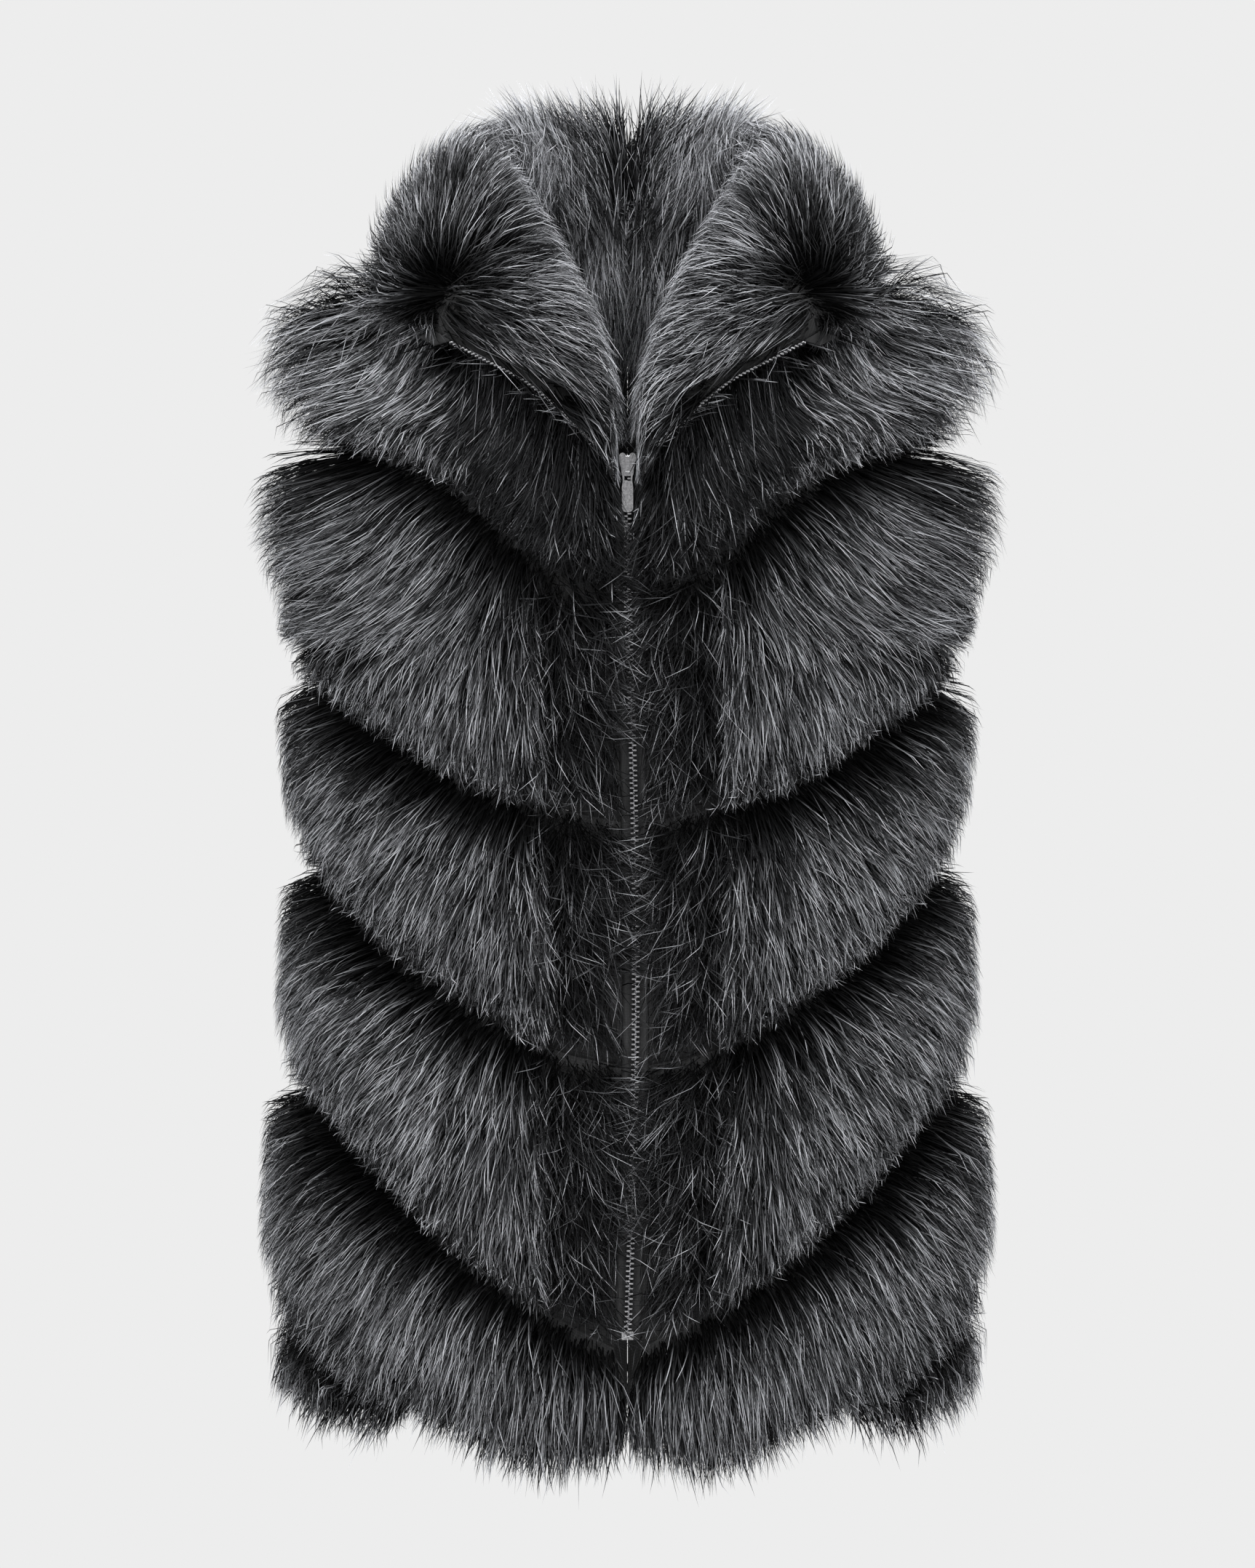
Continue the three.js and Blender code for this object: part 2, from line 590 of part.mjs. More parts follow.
function geometryOf(solid) {
  const mesh = solid.getMesh();
  const geometry = new THREE.BufferGeometry();
  geometry.setAttribute('position', new THREE.BufferAttribute(mesh.vertProperties, 3));
  geometry.setIndex(new THREE.BufferAttribute(mesh.triVerts, 1));
  geometry.computeVertexNormals();
  return geometry;
}

// Turns a shape drawn with x across and y up, extruded about its middle, to face the front.
function extruded(shape, depth, curveSegments = 5) {
  const geometry = new THREE.ExtrudeGeometry(shape, { depth, bevelEnabled: false, curveSegments });
  return geometry.translate(0, 0, -depth / 2).rotateX(Math.PI / 2);
}

// The slider: a shield of two plates round the channel that the teeth run in, with a divider at
// the top, and a bridge on its face that holds the pull tab.
function sliderGeometry() {
  const outline = new THREE.Shape();
  outline.moveTo(0, 5.2);
  outline.bezierCurveTo(-1.2, 5.4, -1.8, 7.2, -3.2, 7);
  outline.bezierCurveTo(-4.8, 6.7, -5.4, 5, -5.2, 3.4);
  outline.bezierCurveTo(-4.9, 0.5, -3.7, -1.5, -3.6, -5.4);
  outline.bezierCurveTo(-3.6, -6.6, -3, -7, -2.2, -7);
  outline.lineTo(2.2, -7);
  outline.bezierCurveTo(3, -7, 3.6, -6.6, 3.6, -5.4);
  outline.bezierCurveTo(3.7, -1.5, 4.9, 0.5, 5.2, 3.4);
  outline.bezierCurveTo(5.4, 5, 4.8, 6.7, 3.2, 7);
  outline.bezierCurveTo(1.8, 7.2, 1.2, 5.4, 0, 5.2);
  const block = extruded(outline, slider.channel + 2 * slider.plate);
  const channel = new THREE.BoxGeometry(slider.channelWidth, slider.channel, 30);
  const divider = new THREE.BoxGeometry(slider.divider, slider.channel + 1, 3.4);
  divider.translate(0, 0, 3.2);

  // The bridge's side view: x is the distance in front of the slider's face.
  const arch = new THREE.Shape();
  arch.moveTo(-0.5, -5.4);
  arch.lineTo(2.6, -5.4);
  arch.quadraticCurveTo(3.9, -5.4, 3.9, -4);
  arch.lineTo(3.9, 4);
  arch.quadraticCurveTo(3.9, 5.2, 2.6, 5.2);
  arch.lineTo(-0.5, 5.2);
  arch.lineTo(-0.5, 4);
  arch.lineTo(2, 4);
  arch.lineTo(2.6, 3.5);
  arch.lineTo(2.6, -3.5);
  arch.lineTo(2, -4);
  arch.lineTo(-0.5, -4);
  arch.closePath();
  const bridge = extruded(arch, slider.bridgeWidth).rotateZ(-Math.PI / 2);
  bridge.translate(0, sliderFace - sliderY, 0);

  const body = solidOf(block).subtract(solidOf(channel));
  const joined = body.add(solidOf(divider)).add(solidOf(bridge));
  return geometryOf(joined).translate(0, sliderY, sliderZ);
}

// The pull tab: a flat plate whose top is a loop; the loop's top bar lies under the bridge.
function tabGeometry() {
  const half = tab.width / 2;
  const endRadius = half - 0.4;
  const outline = new THREE.Shape();
  outline.moveTo(-half, tab.bar / 2);
  outline.lineTo(-half + 0.6, -tab.loopLength);
  outline.lineTo(-half, -tab.loopLength - 4);
  outline.lineTo(-half, -tab.length + endRadius);
  outline.quadraticCurveTo(-half, -tab.length, 0, -tab.length);
  outline.quadraticCurveTo(half, -tab.length, half, -tab.length + endRadius);
  outline.lineTo(half, -tab.loopLength - 4);
  outline.lineTo(half - 0.6, -tab.loopLength);
  outline.lineTo(half, tab.bar / 2);
  outline.closePath();
  const loop = new THREE.Path();
  const inner = tab.loopWidth / 2;
  loop.moveTo(-inner, -tab.bar / 2);
  loop.lineTo(inner, -tab.bar / 2);
  loop.lineTo(inner - 0.5, -tab.loopLength);
  loop.lineTo(-inner + 0.5, -tab.loopLength);
  loop.closePath();
  outline.holes.push(loop);
  const plate = extruded(outline, tab.thickness);
  return plate.translate(0, sliderFace - pivot.lift, sliderZ + pivot.z);
}

for (const { side, label } of sides) {
  for (const face of ['front', 'back']) {
    addMesh(`${face}_yoke_${label}`, yokeWall(face, side), furMaterial);
    addBands(face, side, label);
    addHem(face, side, label);
  }
  const collarHalf = wallGeometry(collar.inside, collar.outside, side < 0, true);
  addMesh(`collar_${label}`, collarHalf, furMaterial);

  const inTape = { from: zipEndZ, near: seamGap / 2, lift: 0, thickness: tape.thickness };
  const tapeBar = zipBar(side, { ...inTape, to: zipTop, far: zipChannel - seamGap });
  addMesh(`zip_tape_${label}`, tapeBar, clothMaterial);
  const inTeeth = { from: zipEndZ + stop.height + seamGap, near: seamGap / 2, lift: teethLift };
  const teethBar = { ...inTeeth, to: zipTop, far: teeth.halfWidth, thickness: teeth.thickness };
  addMesh(`zip_teeth_${label}`, zipBar(side, teethBar), metalMaterial);

  addMesh(`zip_open_row_${label}`, edgeBar(side, openRow), metalMaterial);
  addMesh(`zip_tape_end_${label}`, edgeBar(side, tapeEnd), clothMaterial);
}

const stopBlock = new THREE.BoxGeometry(stop.width, stop.thickness, stop.height);
const stopY = bodyPoint('front', 0, zipEndZ).y - teethLift - stop.thickness / 2;
stopBlock.translate(0, stopY, zipEndZ + stop.height / 2);
addMesh('zip_bottom_stop', stopBlock, metalMaterial);
addMesh('zip_slider', sliderGeometry(), metalMaterial);
addMesh('pull_tab', tabGeometry(), metalMaterial);

export default group;
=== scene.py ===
import itertools
import json
import math

import bpy
import numpy as np
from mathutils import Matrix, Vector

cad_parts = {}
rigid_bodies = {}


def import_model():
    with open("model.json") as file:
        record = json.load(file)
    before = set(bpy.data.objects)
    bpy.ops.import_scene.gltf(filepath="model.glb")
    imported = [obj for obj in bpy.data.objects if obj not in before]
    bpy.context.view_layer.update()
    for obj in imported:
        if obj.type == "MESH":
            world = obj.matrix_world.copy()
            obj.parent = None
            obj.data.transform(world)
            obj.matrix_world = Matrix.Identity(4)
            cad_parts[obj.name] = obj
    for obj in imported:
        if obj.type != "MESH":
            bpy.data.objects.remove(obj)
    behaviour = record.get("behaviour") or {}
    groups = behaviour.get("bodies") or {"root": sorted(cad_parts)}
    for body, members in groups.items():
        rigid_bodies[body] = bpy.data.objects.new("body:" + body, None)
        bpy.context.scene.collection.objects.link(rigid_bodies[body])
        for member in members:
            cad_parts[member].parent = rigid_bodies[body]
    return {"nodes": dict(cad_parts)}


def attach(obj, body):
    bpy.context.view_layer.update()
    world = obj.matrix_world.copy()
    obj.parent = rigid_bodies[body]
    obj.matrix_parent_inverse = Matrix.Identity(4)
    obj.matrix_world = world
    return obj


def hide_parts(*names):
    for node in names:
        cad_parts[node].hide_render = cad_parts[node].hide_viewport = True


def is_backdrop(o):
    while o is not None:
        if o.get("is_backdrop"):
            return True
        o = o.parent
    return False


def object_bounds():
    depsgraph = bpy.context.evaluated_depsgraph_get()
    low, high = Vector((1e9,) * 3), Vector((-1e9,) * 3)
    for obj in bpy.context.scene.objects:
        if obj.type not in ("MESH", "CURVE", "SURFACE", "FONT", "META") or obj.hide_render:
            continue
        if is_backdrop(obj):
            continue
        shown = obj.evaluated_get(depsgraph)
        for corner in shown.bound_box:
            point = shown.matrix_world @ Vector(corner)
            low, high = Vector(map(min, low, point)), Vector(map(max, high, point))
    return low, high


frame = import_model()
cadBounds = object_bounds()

# The vest is worked out in millimetres, in the frame of the CAD, and put into meshes in metres.
# Every panel is two grids of points, the cloth and the reach of its pile. Rows run with the
# pile and columns run from the middle of the body, or of the back collar, outwards.
millimetre = 0.001

vest = {
    "gap": 0.3, "neckSide": 72, "shoulderTip": 190, "shoulderSlope": math.tan(math.radians(20)),
    "underarm": -235, "armholeBite": 0.4, "zipTop": -143.3, "zipEnd": -663, "zipWander": 5,
    "zipChannel": 8, "slitEdge": 1, "stripEdge": 52, "stripShare": 0.2, "squareness": 0.85,
    "pile": 29, "sidePile": 34, "stripPile": 15, "underCollar": 9, "hemFlare": 18,
    "armholeFlare": 38, "neckShare": 0.4, "cornerShare": 0.5, "cornerRise": 6, "freePuff": 0.55,
}
rings = np.array([  # height, half width, depth in front, depth behind
    (-790, 194, 128, 136), (-620, 189, 124, 134), (-500, 181, 117, 121), (-380, 173, 114, 105),
    (-300, 175, 123, 107), (-235, 179, 129, 112), (-150, 184, 127, 116), (-60, 190, 110, 110),
    (40, 196, 100, 100)], float)
shoulderCurve = {"front": (-130, 1.4, 1.4), "back": (-120, 1.9, 1.6)}  # start, rise, fall
seamShares = np.array([0, 0.2, 0.4, 0.6, 0.8, 1])  # of the way from the middle to the side
seamHeights = {
    "yoke": [-212, -193, -158, -137, -129, -122], "chest": [-351, -341, -324, -297, -277, -260],
    "waist": [-498, -487, -456, -428, -398, -374], "hip": [-668, -644, -606, -563, -528, -509],
    "corner": [-760, -737, -706, -699, -670, -646],
    "frontHem": [-718, -729, -708, -709, -691, -670],
    "backHem": [-714, -717, -713, -707, -690, -670],
}
necklines = {  # share, x, z
    "front": np.array([(0, 8, -147), (0.25, 15, -112), (0.5, 29, -72), (0.75, 49, -32), (1, 72, 0)]),
    "back": np.array([(0, 0, -14), (0.5, 38, -9), (1, 72, 0)]),
}
bandPuff = np.array([(0, 0), (0.12, 0.93), (0.3, 1), (0.62, 0.84), (0.84, 0.56), (1, 0)])
seamShare = {"middle": 0.56, "side": 0.76}
collarSections = np.array([  # s, crest, edge, inside, outside, past
    (0, 0, 74, 140, 0, 124, -2, 22, 11, 24), (0.5, 45, 68, 132, 86, 106, -4, 22, 10, 24),
    (1, 79, 8, 93, 136, 20, 4, 23, 9, 24), (1.25, 54, -62, 52, 139, -34, -26, 24, 7, 26),
    (1.5, 22, -122, -20, 116, -79, -54, 25, 6, 40), (1.75, 14, -150, -82, 57, -122, -87, 20, 6, 34),
    (1.88, 11, -156, -118, 27, -144, -114, 13, 5, 20), (2, 8.5, -150, -146, 9, -151, -138, 6, 1.5, 2)])
collarShape = {"corner": 1.5, "edgeShare": 0.72, "lipStart": 0.86, "rest": 4.5, "meet": -112}


def lerp(a, b, t):
    return a + (b - a) * t


def smooth(x, low, high):
    # An S curve: 0 below low, 1 above high.
    t = np.clip((np.asarray(x, float) - low) / (high - low), 0, 1)
    return t * t * (3 - 2 * t)


def unit(v):
    return v / np.maximum(np.linalg.norm(v, axis=-1, keepdims=True), 1e-9)


def along(keys, values, at):
    # Cubic pieces through a table; the slope at each key is that between its neighbours.
    keys, values, at = np.asarray(keys, float), np.asarray(values, float), np.asarray(at, float)
    last = len(keys) - 1
    before, after = np.maximum(np.arange(last + 1) - 1, 0), np.minimum(np.arange(last + 1) + 1, last)
    span = (keys[after] - keys[before]).reshape((-1,) + (1,) * (values.ndim - 1))
    slopes = (values[after] - values[before]) / span
    at = np.clip(at, keys[0], keys[-1])
    i = np.clip(np.searchsorted(keys, at, side="right") - 1, 0, last - 1)
    width = keys[i + 1] - keys[i]
    u = (at - keys[i]) / width
    if values.ndim > 1:
        extra = at.shape + (1,) * (values.ndim - 1)
        u, width = u.reshape(extra), width.reshape(extra)
    return ((2 * u**3 - 3 * u**2 + 1) * values[i] + (u**3 - 2 * u**2 + u) * width * slopes[i]
            + (3 * u**2 - 2 * u**3) * values[i + 1] + (u**3 - u**2) * width * slopes[i + 1])


def ring(z, column):
    return along(rings[:, 0], rings[:, column], z)


def seamZ(seam, c):
    return along(seamShares, seamHeights[seam], c)


def ridgeZ(x):
    return (vest["neckSide"] - x) * vest["shoulderSlope"]


def wander(z):
    top = seamHeights["yoke"][0]
    t = np.clip((top - np.asarray(z, float)) / (top - vest["zipEnd"]), 0, 1)
    return vest["zipWander"] * np.sin(np.pi * t)


def bodyPoint(face, angle, z):
    # A ring of half width w and depth d: x = w sin(angle), y = d cos(angle)^squareness, with the
    # depth closing over the shoulder as (1 - t^rise)^(1/fall).
    angle, z = np.broadcast_arrays(np.asarray(angle, float), np.asarray(z, float))
    x = ring(z, 1) * np.sin(angle)
    start, rise, fall = shoulderCurve[face]
    t = np.clip((z - start) / (ridgeZ(x) - start), 0, 1)
    share = (1 - t**rise) ** (1 / fall)
    depth = ring(z, 2 if face == "front" else 3) * np.maximum(np.cos(angle), 0) ** vest["squareness"] * share
    return np.stack([x, -depth if face == "front" else depth, z], -1)


def edgeAngle(z):
    # The armhole's edge: an ellipse bitten out of each face between underarm and shoulder tip.
    tip = ridgeZ(vest["shoulderTip"])
    t = (z - (vest["underarm"] + tip) / 2) / ((tip - vest["underarm"]) / 2)
    return np.pi / 2 - vest["armholeBite"] * np.sqrt(np.maximum(0, 1 - t * t))


def columnAngle(face, side, c, z):
    width = ring(z, 1)
    if face == "back":
        return np.arcsin(vest["gap"] / 2 / width) * (1 - c) + c * edgeAngle(z)
    bow = side * wander(z)
    strip = vest["stripShare"]
    stripAngle = np.arcsin((vest["stripEdge"] + bow) / width)
    opened = smooth(z, vest["zipEnd"] - 30, vest["zipEnd"] - 5)
    x = lerp(lerp(vest["slitEdge"], vest["zipChannel"], opened), vest["stripEdge"], c / strip) + bow
    near = np.arcsin(np.clip(x / width, -1, 1))
    return np.where(c > strip, lerp(stripAngle, edgeAngle(z), (c - strip) / (1 - strip)), near)


def bodyNormal(face, angle, z):
    top = np.minimum(z + 1, ridgeZ(ring(z, 1) * np.sin(angle)) - 0.5)
    aside = bodyPoint(face, np.minimum(angle + 0.02, np.pi / 2), z) - bodyPoint(face, np.maximum(angle - 0.02, 0), z)
    normal = unit(np.cross(aside, bodyPoint(face, angle, top) - bodyPoint(face, angle, z - 1)))
    return normal if face == "front" else -normal


def pileHeight(face, c, puff):
    least = lerp(seamShare["middle"], seamShare["side"], smooth(c, 0.6, 1))
    loft = lerp(vest["pile"], vest["sidePile"], smooth(c, 0.6, 1))
    if face == "front":
        strip = vest["stripShare"]
        loft = np.where(c < strip, lerp(vest["stripPile"], vest["pile"], (c / strip) ** 2), loft)
    return loft * lerp(least, 1, puff)


def pileDirection(face, side, c, z):
    normal = bodyNormal(face, columnAngle(face, side, c, z), z)
    flat = np.where((c >= 1) & (z < vest["underarm"]), 0, normal[..., 1])
    normal = unit(np.stack([normal[..., 0], flat, normal[..., 2]], -1))
    turn = 1 if face == "front" else -1
    aside = unit(np.stack([-normal[..., 1] * turn, normal[..., 0] * turn, 0 * c], -1))
    window = smooth(z, vest["underarm"], vest["underarm"] + 50)
    lean = vest["armholeFlare"] / vest["sidePile"] * window * smooth(c, 0.72, 1)
    return normal + aside * lean[..., None]


def bandPanel(face, side, top, bottom, c0, c1, hang=None):
    # Rows go from one seam to the next; the pile's height follows the band's puff table.
    c = np.linspace(c0, c1, max(3, round((c1 - c0) / 0.05) + 1))[None, :]
    v = np.linspace(0, 1, 25)[:, None]
    c, v = np.broadcast_arrays(c, v)
    hang = hang(c) if hang else 0 * c
    z = lerp(top(c) - vest["gap"] / 2, bottom(c) + vest["gap"] / 2, v)
    inner = bodyPoint(face, columnAngle(face, side, c, z), z)
    inner[..., 1] += np.where(c >= 1, (-1 if face == "front" else 1) * vest["gap"] / 2, 0)
    puff = along(bandPuff[:, 0], bandPuff[:, 1], v)
    height = pileHeight(face, c, lerp(puff, np.maximum(puff, vest["freePuff"]), v * hang))
    outer = inner + pileDirection(face, side, c, z) * height[..., None]
    outer[..., 2] -= vest["hemFlare"] * hang * smooth(v, 0.45, 1)
    return inner, outer


def gridNormals(grid):
    # Crosses each point's step along its row with its step up its column.
    rows, cols = grid.shape[:2]
    r, c = np.arange(rows), np.arange(cols)
    aside = grid[:, np.minimum(c + 1, cols - 1)] - grid[:, np.maximum(c - 1, 0)]
    upward = grid[np.maximum(r - 1, 0)] - grid[np.minimum(r + 1, rows - 1)]
    return unit(np.cross(aside, upward))


def yokePanel(face, side):
    v = np.array([0, 0.1, 0.22, 0.36, 0.5, 0.66, 0.8, 0.91, 1])[:, None]
    c = np.linspace(0, 1, 11)[None, :]
    neck, table = vest["neckShare"], necklines[face]
    shoulderX = lerp(vest["neckSide"], vest["shoulderTip"], (c - neck) / (1 - neck))
    x = np.where(c >= neck - 1e-9, shoulderX, along(table[:, 0], table[:, 1], c / neck))
    zTop = np.where(c >= neck - 1e-9, ridgeZ(shoulderX), along(table[:, 0], table[:, 2], c / neck))
    zBottom = seamZ("yoke", c) + vest["gap"] / 2
    topShare = np.arcsin(np.minimum(1, x / ring(zTop, 1))) / edgeAngle(zTop)
    bottomShare = columnAngle(face, side, c, zBottom) / edgeAngle(zBottom)
    z = lerp(zTop, zBottom, v**1.6)
    inner = bodyPoint(face, lerp(topShare, bottomShare, v) * edgeAngle(z), z)
    turn = 1 if face == "front" else -1
    shoulder = c[0] >= neck - 1e-9
    inner[0, shoulder, 1] = -turn * vest["gap"] / 2
    if face == "back":
        inner[:, 0, 0] = vest["gap"] / 2
    direction = gridNormals(inner) * turn
    toShoulder = unit(np.array([vest["shoulderSlope"], 0, 1]))
    weight = (np.minimum(1, c[0] / neck) ** 2)[:, None]
    direction[0] = unit(lerp(direction[0], toShoulder, weight))
    direction[:, 0, 0] = 0
    direction = unit(direction)
    aside = np.stack([-direction[..., 1] * turn, direction[..., 0] * turn, 0 * z], -1)
    ridge = direction[0, shoulder]
    aside[0, shoulder] = np.stack([ridge[:, 2], 0 * ridge[:, 0], -ridge[:, 0]], -1)
    lean = vest["armholeFlare"] / vest["sidePile"] * smooth(c, 0.78, 1) * lerp(0.4, 0.75, smooth(v, 0, 0.3))
    direction = direction + unit(aside) * lean[..., None]
    direction[-1] = pileDirection(face, side, c[0], inner[-1, :, 2])
    atTip = lerp(1, 0, smooth(c, 0.88, 1))
    atArmhole = smooth(c, 0.84, 0.96) * lerp(atTip, 1, smooth(v, 0, 0.25))
    opened = np.maximum(smooth(v, 0.76, 0.92), atArmhole)
    height = lerp(vest["underCollar"], pileHeight(face, c, 1 - smooth(v, 0.85, 1)), opened)
    return inner, inner + direction * height[..., None]


def refine(grid, rows, cols):
    # More rows and columns through the same points, by the cubic pieces of along.
    r, c = np.linspace(0, 1, grid.shape[0]), np.linspace(0, 1, grid.shape[1])
    grid = along(r, grid, np.linspace(0, 1, rows))
    return along(c, grid.transpose(1, 0, 2), np.linspace(0, 1, cols)).transpose(1, 0, 2)


def neckEdge(s, yokes):
    # The yoke's neckline as straight steps: its cloth, its pile's top, and the way clear of it.
    back = s <= 1
    at = np.where(back, s, 2 - s) * 4
    i = np.minimum(np.floor(at), 3).astype(int)
    t = (at - i)[:, None]
    row = lambda k, j: np.where(back[:, None], yokes["back"][k][0][j], yokes["front"][k][0][j])
    inner, outer = lerp(row(0, i), row(0, i + 1), t), lerp(row(1, i), row(1, i + 1), t)
    clear = unit(np.cross(row(0, i + 1) - row(0, i), outer - inner)) * vest["gap"]
    clear = clear * np.where(back, 1.3, -1)[:, None]
    clear[s == 0, 0] = 0
    return inner, outer, clear


def collarMiddle(s, r, yokes):
    # At each section a quadratic curve from the neckline over the crest to the free edge.
    inner, outer, clear = neckEdge(s, yokes)
    root = (inner + outer) / 2 + clear
    table = along(collarSections[:, 0], collarSections[:, 1:7], s)
    crest, edge, r = table[:, :3], table[:, 3:], r[:, None, None]
    return (1 - r) ** 2 * root + 2 * r * (1 - r) * crest + r**2 * edge


def collarPanels(yokes):
    s = np.linspace(0, 2, 17)
    r = np.array([0, 0.1, 0.22, 0.36, 0.5, 0.65, 0.8, 0.92, 1])
    middle = collarMiddle(s, r, yokes)
    normals = gridNormals(middle)
    normals[:, 0, 0] = 0
    normals = unit(normals)
    middle[:, 0, 0] = vest["gap"] / 2
    edgeOut = unit(collarMiddle(s, np.array([1.0]), yokes)[0] - collarMiddle(s, np.array([0.85]), yokes)[0])
    edgeOut[0, 0] = 0
    sizes = along(collarSections[:, 0], collarSections[:, 7:10], s)
    zipped = smooth(s, collarShape["corner"] - 0.08, collarShape["corner"])[None, :, None]
    rr = r[:, None, None]
    share = lerp(1, collarShape["edgeShare"], smooth(rr, 0.7, 1))
    past = sizes[None, :, 2:3] * smooth(rr, 0.5, 1) * collarShape["lipStart"]
    inside = middle - normals * sizes[None, :, 0:1] * share + edgeOut * past * (1 - zipped)
    outside = middle + normals * sizes[None, :, 1:2] * share + edgeOut * past * lerp(0.6, 1, zipped)
    inner, outer, clear = neckEdge(s, yokes)
    risen = middle - middle[0] + clear
    leave = smooth(rr, 0, 0.45)
    inside = lerp(inner + risen, inside, leave)
    outside = lerp(outer + risen, outside, leave)
    z = np.minimum(outside[..., 2], ridgeZ(outside[..., 0]) - 2)
    angle = np.arcsin(np.clip(outside[..., 0] / ring(z, 1), 0, 1))
    front = (s > 1)[None, :, None]
    normal = np.where(front, bodyNormal("front", angle, z), bodyNormal("back", angle, z))
    under = np.where(front, bodyPoint("front", angle, z), bodyPoint("back", angle, z))
    height = np.sum((outside - under) * normal, -1)
    rest = vest["gap"] + collarShape["rest"] * smooth(r, 0, 0.3)[:, None]
    short = np.maximum(0, vest["underCollar"] + rest - height) * (r[:, None] > 0)
    outside = outside + normal * short[..., None]
    for grid in (inside, outside):
        meet = smooth(-grid[..., 2], -collarShape["meet"] - 20, -collarShape["meet"])
        grid[..., 0] = np.maximum(grid[..., 0], lerp(vest["gap"] / 2, vest["zipChannel"], meet))
    cloth = lerp(inner + risen, middle, smooth(rr, 0, 0.3))
    return cloth, inside, outside, edgeOut, -normals[-1]


def mirrored(points, side):
    return points * np.array([side, 1, 1])


# Meshes


def meshObject(name, points, faces, uv=None, smoothFaces=True):
    # faces is a list of whole-number arrays, each with its own number of corners a face.
    mesh = bpy.data.meshes.new(name)
    corners = np.concatenate([f.ravel() for f in faces])
    totals = np.concatenate([np.full(len(f), f.shape[1]) for f in faces])
    mesh.vertices.add(len(points))
    mesh.vertices.foreach_set("co", (points * millimetre).astype(np.float32).ravel())
    mesh.loops.add(len(corners))
    mesh.loops.foreach_set("vertex_index", corners.astype(np.int32))
    mesh.polygons.add(len(totals))
    mesh.polygons.foreach_set("loop_start", np.concatenate([[0], np.cumsum(totals)[:-1]]).astype(np.int32))
    mesh.polygons.foreach_set("use_smooth", np.full(len(totals), smoothFaces))
    if uv is not None:
        layer = mesh.uv_layers.new(name="OFBake")
        layer.data.foreach_set("uv", uv[corners].astype(np.float32).ravel())
    mesh.update(calc_edges=True)
    mesh.validate()
    obj = bpy.data.objects.new(name, mesh)
    bpy.context.scene.collection.objects.link(obj)
    return obj


def clothShell(name, grid, outward, thickness, side):
    # A thin closed sheet on a grid: its face, the same face moved outward, and the rim between.
    rows, cols = grid.shape[:2]
    layers = np.stack([grid, grid + unit(outward) * thickness])
    points = mirrored(layers.reshape(-1, 3), side)
    index = np.arange(2 * rows * cols).reshape(2, rows, cols)
    quad = lambda a, b, c, d: np.stack([a, b, c, d], -1).reshape(-1, 4)
    low, high = index
    faces = [quad(low[:-1, :-1], low[:-1, 1:], low[1:, 1:], low[1:, :-1]),
             quad(high[:-1, :-1], high[1:, :-1], high[1:, 1:], high[:-1, 1:])]
    for a, b in ((index[:, 0], True), (index[:, -1], False), (index[:, :, 0], False), (index[:, :, -1], True)):
        rim = quad(a[0, :-1], a[0, 1:], a[1, 1:], a[1, :-1])
        faces.append(rim[:, ::-1] if b else rim)
    if side < 0:
        faces = [f[:, ::-1] for f in faces]
    step = np.linalg.norm(np.diff(grid, axis=0), axis=-1)
    down = np.concatenate([np.zeros((1, cols)), np.cumsum(step, 0)])
    step = np.linalg.norm(np.diff(grid, axis=1), axis=-1)
    over = np.concatenate([np.zeros((rows, 1)), np.cumsum(step, 1)], 1)
    uv = np.stack([over, down], -1) * millimetre * 2
    obj = meshObject(name, points, faces, np.concatenate([uv.reshape(-1, 2)] * 2))
    a, b = np.diff(grid, axis=0)[:, :-1], np.diff(grid, axis=1)[:-1]
    area = np.linalg.norm(np.cross(a, b), axis=-1).sum() * millimetre**2
    return obj, (over[:, -1].max() * millimetre, down[-1].max() * millimetre, area)


def sampleGrid(grid, a, b):
    # Straight between the four points round (a, b), and straight on past the grid's edges.
    rows, cols = grid.shape[:2]
    x, y = a * (rows - 1), b * (cols - 1)
    i = np.clip(np.floor(x), 0, rows - 2).astype(int)
    j = np.clip(np.floor(y), 0, cols - 2).astype(int)
    fx, fy = (x - i)[..., None], (y - j)[..., None]
    return ((grid[i, j] * (1 - fx) + grid[i + 1, j] * fx) * (1 - fy)
            + (grid[i, j + 1] * (1 - fx) + grid[i + 1, j + 1] * fx) * fy)


def drift(points, size, seed):
    # A slow wave of light and dark, -1 to 1: the mean of six sines across the points.
    draw = np.random.default_rng(seed)
    waves = unit(draw.normal(size=(6, 3))) * draw.uniform(0.6, 1.6, (6, 1)) * 2 * np.pi / size
    return np.sin(points @ waves.T + draw.uniform(0, 6.28, 6)).mean(-1) * 1.6


pileStyle = {
    "steps": np.array([0, 0.32, 0.68, 1]), "widths": np.array([1, 0.95, 0.7, 0]),
    "halfWidth": 0.39, "length": 52, "lengthSpread": 0.35, "lock": 4.5, "lockPull": 0.85,
    "bend": 0.1, "turn": 60, "rise": 2.2, "lay": 1.3, "swell": 1, "straight": 0,
    "past": -3, "ragged": 8, "rootPast": 4, "sidePast": 12, "middlePast": 9,
    "hairTone": 1.4, "lockTone": 1.15, "crossing": 0.06,
    "alongShare": 0.86, "rootLift": 0.8, "wobble": 14, "shadeSpan": 0.012,
}
plainHair = {"steps": np.array([0, 0.45, 1]), "widths": np.array([1, 0.9, 0]), "halfWidth": 0.42}


def valueAt(item, *at):
    return item(*at) if callable(item) else item


